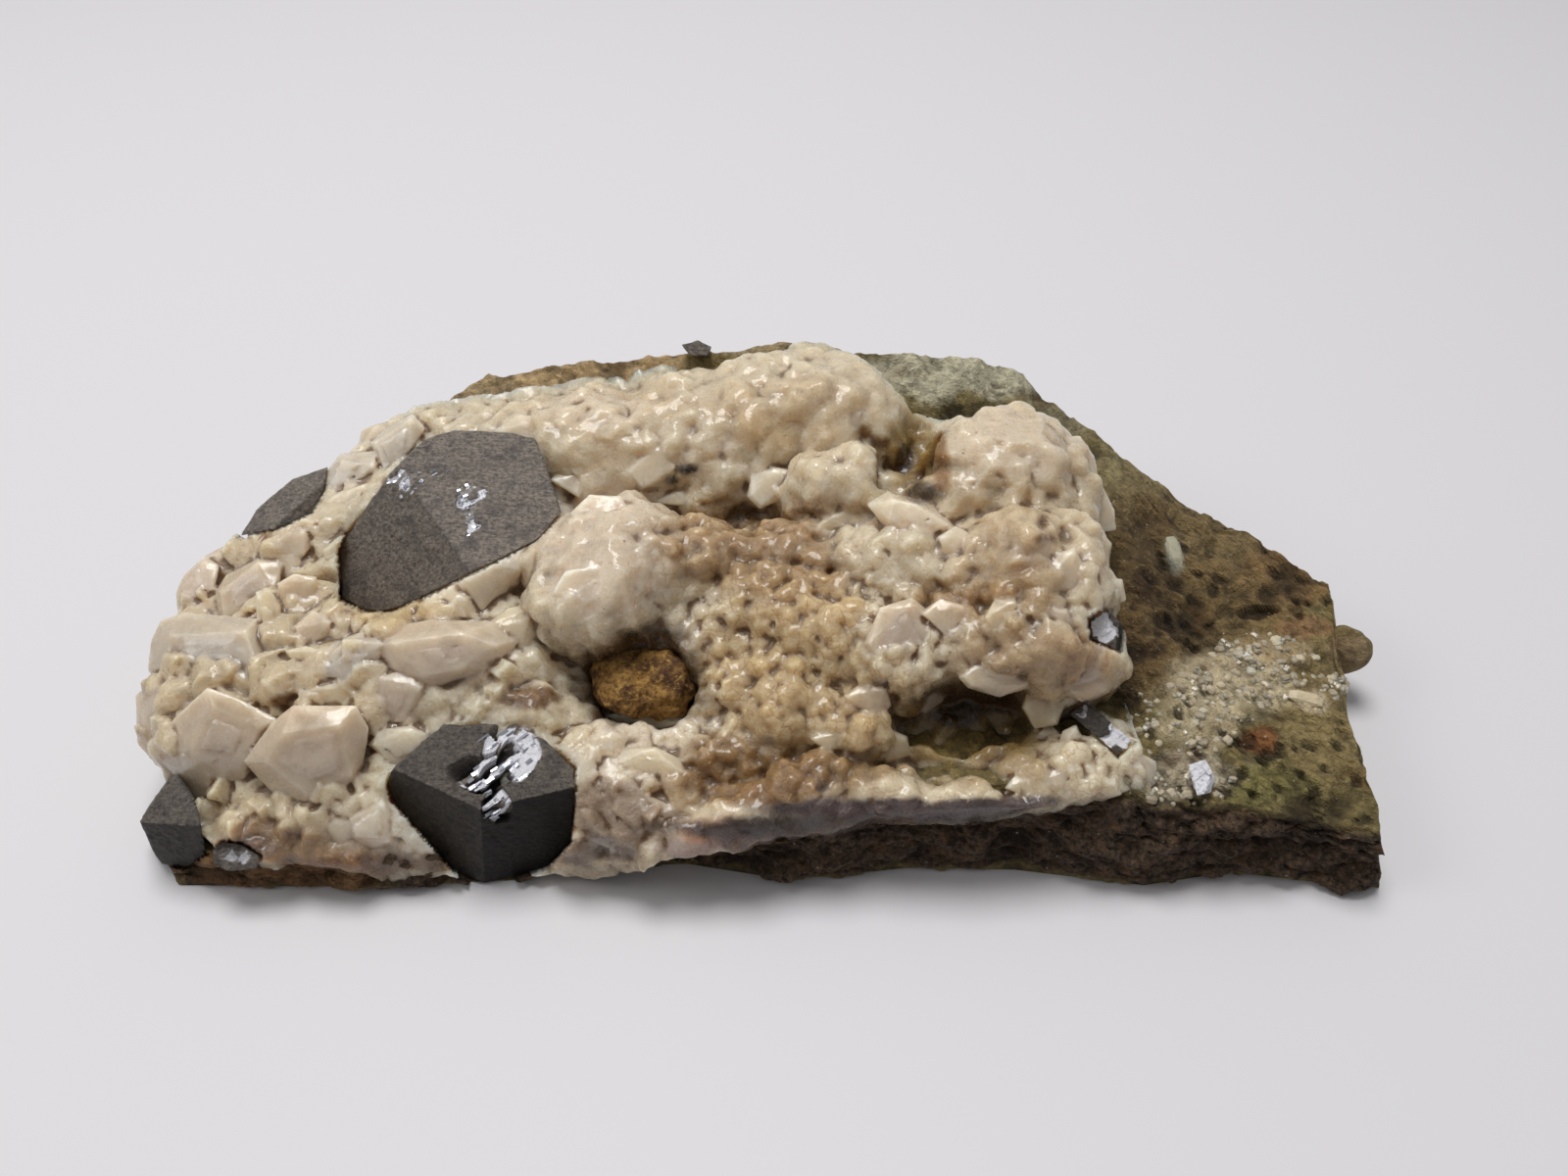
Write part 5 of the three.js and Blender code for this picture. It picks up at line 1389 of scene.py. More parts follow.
# [outline, top, (azimuth, elevation, deep), colour]. A top is its corners as (pixel x, pixel y,
# rise towards the viewer), or just the rise, and then it is every other corner of the outline,
# drawn in.
MILKY_CRYSTALS = [
    [[(155, 684), (158, 655), (167, 636), (190, 628), (258, 634), (279, 690), (264, 726),
     (205, 702)], [(175, 648, 1.4), (250, 644, 1.7), (266, 690, 1.6), (206, 688, 1.7),
     (167, 680, 1.2)], (-14, 48, 8), CLEAR_GREY],
    [[(131, 736), (138, 711), (155, 698), (178, 693), (212, 702), (182, 735), (160, 778),
     (136, 756)], [(160, 708, 1.5), (190, 710, 1.3), (166, 748, 1.2), (149, 734, 1.1)],
     (-18, 40, 6), GLASSY],
    [[(163, 770), (180, 735), (212, 706), (240, 716), (279, 736), (256, 792), (245, 812),
     (205, 815), (178, 782)], [(196, 764, 1.8), (250, 776, 1.8), (218, 722, 1.0),
     (264, 742, 1.0), (214, 802, 1.4)], (-8, 26, 8), GLASSY],
    [[(253, 777), (280, 740), (300, 724), (360, 724), (372, 745), (364, 800), (338, 830),
     (310, 834), (275, 800)], [(290, 748, 1.6), (346, 740, 1.5), (358, 790, 1.5),
     (312, 808, 1.7), (272, 778, 1.3)], (4, 30, 8), GLASSY],
    [[(176, 606), (188, 588), (208, 570), (222, 578), (218, 602), (196, 622), (180, 622)],
     1.2, (-28, 52, 3.6), GLASSY],
    [[(210, 568), (238, 553), (262, 548), (270, 556), (262, 570), (236, 586), (222, 580)],
     1.2, (-16, 50, 3.6), GLASSY],
    [[(222, 604), (232, 588), (264, 571), (284, 576), (284, 602), (264, 632), (226, 634)],
     1.4, (-12, 54, 6), GLASSY],
    [[(262, 606), (276, 604), (286, 620), (287, 645), (277, 690), (262, 650)], 1.2, (34, 42, 5),
     CREAM],
    [[(308, 694), (330, 672), (352, 652), (372, 645), (392, 655), (384, 680), (350, 698)],
     1.5, (-24, 44, 5), CLEAR_GREY],
    [[(362, 745), (368, 715), (388, 690), (410, 686), (432, 700), (428, 720), (410, 738)],
     1.3, (-8, 36, 5), GLASSY],
    [[(378, 760), (388, 745), (420, 742), (440, 752), (438, 770), (425, 785), (402, 786)],
     1.3, (5, 40, 4), PALE],
    [[(378, 662), (392, 645), (410, 640), (440, 634), (500, 636), (522, 654), (512, 680),
     (440, 703), (400, 684)], [(402, 656, 1.4), (470, 646, 1.8), (506, 658, 1.5),
     (470, 682, 1.7), (430, 690, 1.3)], (8, 50, 6), GLASSY],
    [[(500, 636), (520, 622), (548, 616), (552, 640), (534, 666), (512, 680)], 1.1, (14, 46, 4),
     CREAM],
    [[(437, 612), (445, 598), (455, 590), (468, 600), (477, 630), (455, 636), (440, 632)],
     1.2, (-5, 45, 4), PALE],
    [[(455, 585), (490, 557), (520, 548), (537, 552), (535, 598), (510, 616), (490, 632),
     (478, 628)], [(470, 590, 1.7), (500, 578, 2.4), (530, 580, 1.9), (488, 562, 1.4),
     (528, 554, 1.2), (492, 622, 1.2)], (18, 40, 5), CLEAR_GREY],
    [[(328, 505), (334, 482), (348, 464), (380, 462), (384, 474), (378, 490), (352, 500)],
     1.4, (-20, 55, 3.6), CLEAR_GREY],
    [[(366, 458), (370, 440), (382, 434), (400, 429), (402, 438), (388, 448)],
     1.1, (-16, 52, 3.4), GLASSY],
    [[(380, 452), (392, 440), (420, 424), (432, 438), (420, 458), (404, 478), (392, 484)],
     1.4, (-6, 52, 5), CLEAR_GREY],
    [[(320, 526), (334, 514), (356, 514), (352, 530), (342, 541), (328, 541)], 1.0, (0, 50, 3),
     CREAM],
    [[(286, 546), (300, 536), (312, 541), (318, 556), (310, 568), (290, 573), (282, 562)],
     1.2, (4, 50, 4), GLASSY],
    [[(355, 836), (370, 820), (392, 818), (402, 836), (398, 860), (376, 866), (360, 856)],
     1.1, (0, 30, 4), WHITE],
    [[(566, 604), (578, 584), (612, 578), (634, 592), (622, 620), (590, 630)], 0.3, (4, 46, 4),
     WHITE],
    [[(584, 524), (602, 506), (632, 508), (644, 526), (622, 540), (598, 540)], 0.3, (-4, 60, 4),
     WHITE],
    [[(640, 482), (648, 464), (672, 455), (690, 464), (690, 478), (672, 495), (655, 500)],
     1.3, (0, 44, 4), PALE],
    [[(764, 506), (768, 486), (790, 478), (816, 482), (806, 494), (800, 508), (776, 518)],
     0.8, (0, 46, 3), WHITE],
    [[(505, 440), (528, 424), (552, 426), (566, 446), (548, 452), (520, 448)], 0.8, (0, 56, 4),
     PALE],
    [[(618, 780), (640, 766), (668, 763), (690, 774), (700, 786), (692, 798), (640, 797)],
     1.0, (4, 42, 4), CREAM],
    [[(583, 790), (598, 757), (612, 760), (617, 798), (600, 800)], 1.0, (-10, 46, 4), CREAM],
    [[(604, 822), (625, 805), (660, 812), (690, 826), (680, 842), (640, 846), (610, 838)],
     0.9, (0, 40, 4), GLASSY],
    [[(862, 710), (880, 698), (904, 702), (908, 720), (895, 732), (872, 728)], 1.0, (0, 36, 4),
     GLASSY],
    [[(884, 656), (900, 622), (930, 613), (952, 630), (952, 660), (932, 688), (902, 694)],
     1.1, (6, 44, 6), GLASSY],
    [[(888, 516), (908, 503), (946, 514), (964, 525), (978, 538), (960, 548), (930, 558),
     (906, 539)], [(912, 510, 1.7), (932, 514, 1.9), (968, 536, 1.5), (934, 548, 1.3),
     (908, 530, 1.4)], (6, 56, 4), WHITE],
    [[(958, 548), (975, 538), (997, 547), (994, 558), (980, 567), (964, 563)], 1.0, (20, 50, 3),
     WHITE],
    [[(1084, 448), (1102, 446), (1116, 466), (1120, 490), (1104, 496), (1088, 476)],
     0.6, (30, 54, 3), PALE],
    [[(1106, 500), (1124, 496), (1136, 520), (1138, 540), (1120, 542), (1108, 524)],
     0.6, (36, 50, 3), PALE],
    [[(1034, 560), (1046, 544), (1066, 548), (1072, 570), (1054, 586), (1038, 580)],
     0.6, (8, 44, 4), GLASSY],
    [[(1064, 598), (1080, 566), (1096, 560), (1110, 588), (1100, 602), (1082, 608)],
     0.9, (12, 42, 4), PALE],
    [[(1100, 606), (1120, 590), (1144, 592), (1148, 612), (1130, 620), (1108, 622)],
     0.9, (34, 36, 4), PALE],
    [[(1005, 630), (1015, 614), (1036, 612), (1045, 630), (1030, 649), (1011, 645)],
     0.9, (0, 42, 4), CREAM],
    [[(1052, 640), (1064, 618), (1088, 622), (1096, 642), (1078, 656), (1060, 654)],
     0.9, (8, 42, 4), GLASSY],
    [[(1086, 682), (1100, 652), (1124, 656), (1140, 688), (1130, 706), (1106, 715), (1092, 708)],
     1.2, (14, 34, 5), GLASSY],
    [[(980, 690), (1000, 671), (1040, 661), (1060, 680), (1050, 700), (1020, 710), (990, 701)],
     1.1, (4, 44, 5), PALE],
    [[(1044, 722), (1050, 702), (1074, 700), (1085, 720), (1078, 738), (1056, 742)],
     1.0, (0, 36, 4), CREAM],
    [[(1076, 772), (1085, 747), (1098, 741), (1108, 760), (1104, 780), (1086, 784)],
     1.0, (0, 40, 3), GLASSY],
    [[(1128, 800), (1135, 780), (1160, 768), (1178, 778), (1181, 800), (1160, 814), (1140, 814)],
     1.1, (6, 44, 4), GLASSY],
    [[(197, 620), (206, 608), (222, 606), (226, 614), (206, 634), (196, 632)], 1.2, (0, 50, 2.5),
     WHITE],
    [[(312, 704), (350, 696), (372, 700), (366, 722), (340, 724)], 0.7, (5, 30, 4), CREAM],
    [[(336, 508), (352, 500), (372, 494), (376, 506), (362, 516)], 0.8, (-10, 50, 3), PALE],
    [[(260, 548), (268, 536), (282, 531), (290, 540), (286, 554)], 1.0, (-5, 52, 3), PALE],
    [[(262, 572), (282, 560), (304, 566), (310, 580), (296, 592), (272, 590)], 0.8, (0, 46, 3),
     PALE],
    [[(328, 562), (345, 548), (353, 546), (351, 564), (332, 576)], 0.8, (-20, 46, 3), CREAM],
    [[(284, 596), (300, 587), (322, 590), (320, 616), (306, 636), (290, 622)], 0.5, (10, 40, 4),
     GLASSY],
    [[(300, 640), (320, 624), (338, 634), (334, 654), (312, 664)], 0.8, (-6, 44, 3), GLASSY],
    [[(292, 664), (312, 660), (330, 664), (322, 680), (304, 690)], 0.5, (-10, 38, 3), CREAM],
    [[(330, 842), (342, 832), (358, 838), (360, 858), (344, 868)], 0.7, (-6, 30, 3), PALE],
    [[(402, 848), (416, 838), (432, 846), (440, 862), (426, 874)], 0.8, (8, 26, 3), WHITE],
    [[(562, 490), (575, 480), (592, 482), (602, 496), (590, 507)], 0.8, (10, 62, 3), CREAM],
    [[(570, 470), (586, 458), (606, 462), (606, 480), (588, 486)], 0.7, (0, 50, 3), CREAM],
    [[(846, 430), (858, 420), (880, 420), (876, 432), (864, 438)], 0.5, (10, 50, 3), GLASSY],
    [[(668, 513), (676, 502), (700, 500), (712, 508), (708, 517)], 0.8, (0, 50, 2.5), CREAM],
    [[(834, 536), (848, 524), (866, 519), (886, 522), (880, 540), (850, 544)], 0.5, (0, 46, 3),
     CREAM],
    [[(600, 858), (620, 846), (650, 848), (662, 862), (640, 872)], 0.7, (0, 24, 3), CLEAR_GREY],
    [[(620, 730), (640, 724), (662, 732), (690, 726), (700, 738), (645, 748)], 0.8, (0, 46, 3),
     CREAM],
    [[(828, 754), (842, 743), (858, 748), (860, 762), (845, 768)], 0.7, (5, 46, 3), CREAM],
    [[(908, 715), (928, 702), (955, 702), (962, 714), (944, 728)], 0.8, (8, 34, 4), GLASSY],
    [[(884, 752), (905, 743), (925, 752), (928, 770), (905, 778)], 0.8, (10, 36, 3), CREAM],
    [[(930, 560), (948, 553), (958, 562), (951, 573), (934, 571)], 0.6, (8, 46, 2.5), CLEAR_GREY],
    [[(982, 490), (992, 482), (999, 490), (991, 498)], 0.6, (0, 50, 2), WHITE],
    [[(940, 626), (960, 612), (984, 618), (990, 640), (968, 652)], 0.8, (0, 42, 4), GLASSY],
    [[(1060, 748), (1070, 740), (1080, 746), (1078, 758), (1066, 762)], 0.7, (0, 40, 2.5), CREAM],
    [[(1026, 804), (1036, 792), (1056, 792), (1062, 806), (1050, 815)], 0.7, (0, 40, 2.5), CREAM],
    [[(1068, 794), (1076, 785), (1092, 786), (1096, 796), (1084, 802)], 0.7, (0, 44, 2.5), WHITE],
]
GROWN = 1.08  # how far the outlines grow into each other
TOP_SHARE = 0.84  # how wide a top drawn in from the outline is
TOP_RISE = 0.6  # how much of its rise such a top keeps
TOP_SUNK = 0.35  # how far such a crystal is pushed into the crust
SEAT_SHARE = 0.75  # how wide the part of an outline is that finds the crust under it
HIGHEST_SHARE = 0.4  # how much the highest of those places counts, against their mean
SEAT_OFF = (-1.3, 1.3)  # how far its plane may lie off the crust under its middle
BACK_SHARE = 0.72  # how wide a crystal's buried back is
LEFT_END = -47.2  # lowest x of any corner
LEAST_HEIGHT = 0.4
MOST_HEIGHT = 22.8
TERRACES = 3
TERRACE_SHARE = (0.35, 0.7)  # least and most width, as a share of the top's
TERRACE_RISE = (0.08, 0.2)
TINT_SPREAD = (0.94, 1.04)  # how much darker and lighter a crystal is than its colour
LARGE = 24  # a crystal this far across its middle, in pixels, has terraces


def on_crust(px, py):
    """The point at which a pixel's line of sight first meets the bare crust."""
    heights = np.linspace(26, 3, 461)
    line = seen(np.full(heights.shape, px), np.full(heights.shape, py), heights)
    u, v, w = on_lean(line)
    below = w < crust_height(u, v)
    return line[np.argmax(below)]


def on_plane(px, py, normal, point):
    """Where the lines of sight of pixels meet a plane."""
    rays = seen(px, py, 0) - EYE
    return EYE + rays * ((point - EYE) @ normal / (rays @ normal))[..., None]


def crystal_corners(outline, top, lean):
    """The corners of a crystal: its outline on a plane at the crust and, drawn in, at its buried
    back, and its top's corners, raised from that plane towards the eye. Also those alone."""
    azimuth, elevation, deep = lean
    rim = np.array(outline, float)
    centre = rim.mean(0)
    rim = centre + GROWN * (rim - centre)
    main = turned_to(azimuth, elevation)
    seats = np.array([on_crust(*(centre + SEAT_SHARE * (p - centre))) for p in [centre, *rim]])
    levels = seats @ main
    level = levels.mean() + HIGHEST_SHARE * (levels.max() - levels.mean())
    seat = seats[0] + main * np.clip(level - levels[0], *SEAT_OFF)
    if np.isscalar(top):
        drawn_in = centre + TOP_SHARE * (rim[::2] - centre)
        top = np.c_[drawn_in, np.full(len(drawn_in), TOP_RISE * top)]
        seat = seat - TOP_SUNK * main
    top = np.array(top, float)
    front = on_plane(*rim.T, main, seat)
    sight = unit(seat - EYE)
    back = on_plane(*(centre + BACK_SHARE * (rim - centre)).T, sight, seat + sight * deep)
    raised = on_plane(top[:, 0], top[:, 1], main, seat)
    raised = raised + unit(EYE - raised) * top[:, 2:]
    corners = np.concatenate([front, back, raised])
    corners[:, 0] = np.maximum(corners[:, 0], LEFT_END)
    corners[:, 2] = np.clip(corners[:, 2], LEAST_HEIGHT, MOST_HEIGHT)
    return corners, raised


def block_on(corners):
    """The convex block on some corners: its points and triangles."""
    block = bmesh.new()
    for corner in corners.tolist():
        block.verts.new(corner)
    bmesh.ops.convex_hull(block, input=block.verts[:])
    loose = [vert for vert in block.verts if not vert.link_faces]
    bmesh.ops.delete(block, geom=loose, context="VERTS")
    block.verts.index_update()
    points = np.array([vert.co for vert in block.verts])
    triangles = np.array([[vert.index for vert in face.verts] for face in block.faces])
    block.free()
    return points, triangles


def milky_crystal(outline, top, lean, lots):
    """A crystal's block and, on a large one, terraces: copies of its top's corners drawn in
    round a place among them, each a thin plate that stands a little way out."""
    corners, raised = crystal_corners(outline, top, lean)
    parts = [block_on(corners)]
    rim = np.array(outline, float)
    if np.linalg.norm(rim - rim.mean(0), axis=-1).mean() > LARGE:
        out = turned_to(*lean[:2])
        for _ in range(TERRACES):
            focus = lots.dirichlet(np.ones(len(raised))) @ raised
            plate = focus + (raised - focus) * lots.uniform(*TERRACE_SHARE)
            plate = np.concatenate([plate + out * lots.uniform(*TERRACE_RISE), plate - out])
            parts.append(block_on(plate))
    return parts


def joined(parts):
    """Several pieces' points and triangles as one."""
    starts = np.cumsum([0] + [len(part[0]) for part in parts[:-1]])
    triangles = [part[1] + start for part, start in zip(parts, starts)]
    return np.concatenate([part[0] for part in parts]), np.concatenate(triangles)


lots = np.random.default_rng(900)
milky_blocks = []
for outline, top, lean, tint in MILKY_CRYSTALS:
    parts = milky_crystal(outline, top, lean, lots)
    milky_blocks.append((parts, tint * lots.uniform(*TINT_SPREAD)))


# Small crystals of the crust. Blocks with cut edges fill the ground between the large crystals,
# and smaller rounded ones make the druse.
BLOCK_COUNT = 60
BLOCK_HALF = (0.35, 1.0)
BLOCK_FLAT = 0.86  # share of a half edge that the cuts along the edges leave
BLOCK_SUNK = 0.86  # how far its middle lies in the crust, in half sizes
BLOCK_SPREAD = 0.35  # how far they tip from the crust's normal
DRUSE_COUNT = 450
DRUSE_HALF = (0.2, 0.44)
DRUSE_FLAT = 0.62
DRUSE_SUNK = 0.85
DRUSE_SPREAD = 0.4
SKEW = 0.25  # how far a small crystal's axes are from square
UNEQUAL = (0.7, 1.3)  # how far its three half sizes differ from each other


def cut_cube(flat):
    """A cube of half edge 1 with its edges and corners cut flat, which leaves the middle share of
    each face: 24 corners, and a fan of triangles on each of its 26 faces."""
    signs = np.array(list(np.ndindex(2, 2, 2))) * 2 - 1
    corners = np.concatenate([signs * (flat + (1 - flat) * side) for side in np.eye(3)])
    triangles = []
    for way in np.array(list(np.ndindex(3, 3, 3))) - 1:
        if way.any():
            level = corners @ way
            rim = np.flatnonzero(level > level.max() - 1e-6)
            across = np.cross(way, np.roll(way, 1) + (0.1, 0.2, 0.4))
            up = np.cross(way, across)
            away = corners[rim] - corners[rim].mean(0)
            rim = rim[np.argsort(np.arctan2(away @ up, away @ across))]
            triangles += [(rim[0], rim[k], rim[k + 1]) for k in range(1, len(rim) - 1)]
    triangles = np.array(triangles)
    a, b, c = (corners[triangles[:, k]] for k in range(3))
    inward = np.einsum("ij,ij->i", a, np.cross(b - a, c - a)) < 0
    triangles[inward] = triangles[inward][:, ::-1]
    return corners, triangles


def scattered(weight, count, sizes, flat, sunk, spread, lots):
    """Cut cubes on the crust, at places drawn by weight, each of its own size, turned about a
    leaning normal and partly sunk."""
    picked = lots.choice(weight.size, count, replace=False, p=(weight / weight.sum()).ravel())
    centres = bed_points.reshape(-1, 3)[picked]
    normals = bed_normals.reshape(-1, 3)[picked]
    half = lots.uniform(*sizes, (count, 1)) * lots.uniform(*UNEQUAL, (count, 3))
    up = unit(normals + spread * lots.normal(size=normals.shape))
    side = unit(np.cross(up, lots.normal(size=up.shape)))
    turns = np.stack([side, np.cross(up, side), up], axis=1)
    turns += SKEW * lots.uniform(-1, 1, turns.shape)
    middles = centres - normals * half.mean(-1, keepdims=True) * sunk
    points, triangles = copies(*cut_cube(flat), half, turns, middles)
    points[:, 2] = np.maximum(points[:, 2], LEAST_HEIGHT)
    return points, triangles


lots = np.random.default_rng(77)
open_ground = abs(seated(bed_points) - bed_points).max(-1) < 0.01
ground = open_ground * (1 - 0.8 * hollow)
block_weight = smooth(blocks, 0.5, 0.95) * ground
druse_weight = smooth(druse, 0.2, 0.95) * ground
small_blocks = [
    scattered(block_weight, BLOCK_COUNT, BLOCK_HALF, BLOCK_FLAT, BLOCK_SUNK, BLOCK_SPREAD, lots),
    scattered(druse_weight, DRUSE_COUNT, DRUSE_HALF, DRUSE_FLAT, DRUSE_SUNK, DRUSE_SPREAD, lots),
]


# Slab crystals. Pale grains and a few larger pieces, left on the bare slab beside the crust.
SLAB_PIECES = [
    # [pixel x, pixel y, half sizes, turn about the upright, colour]
    [1198, 562, (0.6, 1.3, 0.5), 8, paint(180, 176, 150)],
    [1334, 712, (1.2, 0.5, 0.4), -22, paint(204, 188, 156)],
    [1303, 655, (0.5, 0.5, 0.4), 20, paint(210, 198, 170)],
    [1276, 683, (0.4, 0.35, 0.35), 0, paint(224, 214, 192)],
]
# Where grains lie: [pixel x, pixel y, half width, half height]
SLAB_GRAINS = [
    [1250, 708, 66, 34],
    [1222, 750, 46, 26],
    [1216, 802, 60, 20],
    [1290, 668, 60, 26],
    [1330, 700, 50, 18],
    [1168, 740, 26, 34],
]
SLAB_GRAIN_COUNT = 360
SLAB_GRAIN_HALF = (0.1, 0.34)
SLAB_GRAIN_FLAT = 0.55
SLAB_GRAIN_SUNK = 0.15
SLAB_GRAIN_TINT = (0.5, 0.95)
SLAB_SLOPE = 68  # elevation of the slab's face there, in degrees

lots = np.random.default_rng(52)
px, py = shown(rock_points)
top_of_slab = (rock_points[:, 2] > 5) & (rock_points[:, 1] < 10)
inside = [oval(px, py, *place) for place in SLAB_GRAINS]
weight = smooth(np.max(inside, 0), 0, 0.6) * top_of_slab
picked = lots.choice(len(rock_points), SLAB_GRAIN_COUNT, replace=False, p=weight / weight.sum())
sizes = lots.uniform(*SLAB_GRAIN_HALF, (SLAB_GRAIN_COUNT, 1))
sizes = sizes * lots.uniform(*UNEQUAL, (SLAB_GRAIN_COUNT, 3))
turns = lots.uniform(0, 360, SLAB_GRAIN_COUNT)
tints = CREAM * lots.uniform(*SLAB_GRAIN_TINT, (SLAB_GRAIN_COUNT, 1))
for x, y, half, turn, tint in SLAB_PIECES:
    nearest = np.where(top_of_slab, (px - x) ** 2 + (py - y) ** 2, np.inf).argmin()
    picked, turns = np.r_[picked, nearest], np.r_[turns, turn]
    sizes, tints = np.r_[sizes, [half]], np.r_[tints, [tint]]
body, faces = cut_cube(SLAB_GRAIN_FLAT)
axes = np.stack([axes_of(turn, SLAB_SLOPE)[[1, 2, 0]] for turn in turns])
places = rock_points[picked] - (0, 0, SLAB_GRAIN_SUNK)
points, triangles = copies(body, faces, sizes, axes, places)
tone = tints.repeat(len(body), 0)
marks = {key: np.zeros(len(points)) for key in ("joint", "hollow", "rim", "clear", "druse")}
grain_material = milky_material("slab_crystals", 0.8, 0.6, 0.34)
new_piece("slab_crystals", points, triangles, grain_material, tone, marks)


# The crust is grown together: its bed and all its crystals are one surface. They are sampled
# together on fine voxels, worn a little, cut back behind the galena and thinned where flat.
CRUST_VOXEL = 0.16
CRUST_TRIANGLES = 192000
CREASE_REACH = 10  # rounds of softening against which creases and edges are measured
FACE_REACH = 0.14  # how near a crystal's face a point is moved onto it
CRUST_WEAR = [[0.07, 1.1, 91], [0.05, 0.45, 92]]
WEAR_SPARED = 0.7  # how much less a crystal's faces are worn
TINT_SHARE = 0.55  # how far a crystal takes on a colour of its own
LEAST_FACE = 0.002  # twice the area of the smallest face that counts
KEPT = ("bend", "own", "red", "green", "blue")  # values carried through the thinning


def with_modifier(mesh, kind, settings):
    """A new mesh: the given one with one modifier applied."""
    holder = in_scene("holder", mesh)
    modifier = holder.modifiers.new(kind.lower(), kind)
    for key, value in settings.items():
        setattr(modifier, key, value)
    view = bpy.context.evaluated_depsgraph_get()
    made = bpy.data.meshes.new_from_object(holder.evaluated_get(view), depsgraph=view)
    bpy.data.objects.remove(holder)
    return made


def read(items, key, width, kind=float):
    """One property of all a mesh's points, edges or triangles, as rows of an array."""
    values = np.empty(len(items) * width, kind)
    items.foreach_get(key, values)
    return values.reshape(-1, width)


def softened(values, edges, times):
    """Values on a mesh's points, each replaced by the mean of its neighbours', several times."""
    a, b = edges.T
    count = len(values)
    near = np.bincount(np.r_[a, b], minlength=count)[:, None]
    for _ in range(times):
        sums = [np.bincount(a, v[b], count) + np.bincount(b, v[a], count) for v in values.T]
        values = np.stack(sums, -1) / near
    return values


def looked_up(grid, points):
    """Values of the bed's grid at the places of points on the leaning plane."""
    u, v, _ = on_lean(points)
    low, high = reading(bed_edges, u, 1), reading(bed_edges, u, 2)
    i = np.interp(u, bed_edges[:, 0], np.arange(len(bed_edges))).astype(int)
    j = np.clip((v - low) / (high - low), 0, 1) * (grid.shape[1] - 1)
    return grid[i, j.astype(int)]


def off_block(points, block):
    """How far points lie outside a convex block, below 0 inside it, and the normal of its
    nearest face."""
    corners, triangles = block
    a, b, c = (corners[triangles[:, k]] for k in range(3))
    normals = np.cross(b - a, c - a)
    large = np.linalg.norm(normals, axis=-1) > LEAST_FACE
    a, normals = a[large], unit(normals[large])
    normals *= np.sign(((a - corners.mean(0)) * normals).sum(-1, keepdims=True))
    off = points @ normals.T - (a * normals).sum(-1)
    return off.max(-1), normals[off.argmax(-1)]


def on_faces(points, tone):
    """Points near a crystal's flat faces, moved onto them, and the tone of each point, replaced
    by a crystal's own where the point lies on it. Also how far each point is a crystal's."""
    points, tone, own = points.copy(), tone.copy(), np.zeros(len(points))
    for parts, tint in milky_blocks:
        for block in parts:
            low, high = block[0].min(0) - FACE_REACH, block[0].max(0) + FACE_REACH
            near = np.flatnonzero(((points > low) & (points < high)).all(-1))
            off, normals = off_block(points[near], block)
            moved = abs(off) < FACE_REACH
            points[near[moved]] -= off[moved, None] * normals[moved]
            share = smooth(-off, -2 * FACE_REACH, -FACE_REACH)
            tone[near] += TINT_SHARE * share[:, None] * (tint - tone[near])
            own[near] = np.maximum(own[near], share)
    return points, tone, own


block_parts = [part for made, _ in milky_blocks for part in made]
points, triangles = joined([closed_loft(rings), *block_parts, *small_blocks])
mesh = bpy.data.meshes.new("crust_parts")
mesh.from_pydata(points.tolist(), [], triangles.tolist())
mesh = with_modifier(mesh, "REMESH", {"mode": "VOXEL", "voxel_size": CRUST_VOXEL})
points = read(mesh.vertices, "co", 3)
normals = read(mesh.vertices, "normal", 3)
edges = read(mesh.edges, "vertices", 2, np.int32)
bend = ((softened(points, edges, CREASE_REACH) - points) * normals).sum(-1)
points, tone, own = on_faces(points, painted(points, CREAM, CRUST_PATCHES))
wear = (1 - WEAR_SPARED * own) * clouds(points, CRUST_WEAR)
points = seated(points + normals * wear[:, None])
points[:, 2] = np.clip(points[:, 2], LEAST_HEIGHT, MOST_HEIGHT)
mesh.vertices.foreach_set("co", points.ravel())
for key, values in zip(KEPT, (bend, own, *tone.T)):
    mesh.attributes.new(key, "FLOAT", "POINT").data.foreach_set("value", values.astype("f"))
mesh.update()
mesh.calc_loop_triangles()
mesh = with_modifier(mesh, "DECIMATE", {"ratio": CRUST_TRIANGLES / len(mesh.loop_triangles)})
mesh.calc_loop_triangles()
points = read(mesh.vertices, "co", 3)
triangles = read(mesh.loop_triangles, "vertices", 3, np.int32)
bend, own, *tone = (read(mesh.attributes[key].data, "value", 1)[:, 0] for key in KEPT)
tone = np.stack(tone, -1)
fine_ground = np.clip(looked_up(0.6 + 0.2 * druse + 0.4 * blocks, points), 0, 1.1)
# Marks for painting: brown stain in joints, painted shade with stain in hollows, a painted highlight on
# convex edges, clear crystal and druse.
marks = {
    "joint": smooth(bend, 0.02, 0.12) * fine_ground,
    "hollow": looked_up(hollow, points) * (1 - 0.7 * own),
    "rim": smooth(-bend, 0.04, 0.14),
    "clear": own,
    "druse": np.clip(looked_up(druse, points), 0, 1),
}
crust = new_piece("crust_bed", points, triangles, crust_material, tone, marks, even=True)
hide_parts("milky_crust")


# Ochre lump. A rounded knot of rock in the crust's deepest hollow, coated with iron ochre.
LUMP_AT = (657, 688, 10.4)  # pixel x, pixel y and height
LUMP_HALF = (4.5, 2.9, 2.3)
LUMP_SUNK = 1.6
LUMP_UNEVEN = [[0.45, 2.0, 102], [0.25, 0.9, 103]]
LUMP_GRIT = (0.9, 0.25)  # size and height

rings = ball(LUMP_HALF, np.zeros(3), 120)
out = unit(rings)
_, gap, own = grains(rings, LUMP_GRIT[0], 101)
lift = clouds(rings, LUMP_UNEVEN, 0.3 * rough(4 * out, 5))
lift += LUMP_GRIT[1] * (own - 0.5) * smooth(gap, 0, 0.3)
body = rings + out * (lift - 0.15)[..., None]
lean = np.stack([LEAN_U, LEAN_V, LEAN_W], -1)
centre = seen(*LUMP_AT) - LEAN_W * LUMP_SUNK
points, triangles = closed_loft(body @ lean.T + centre)

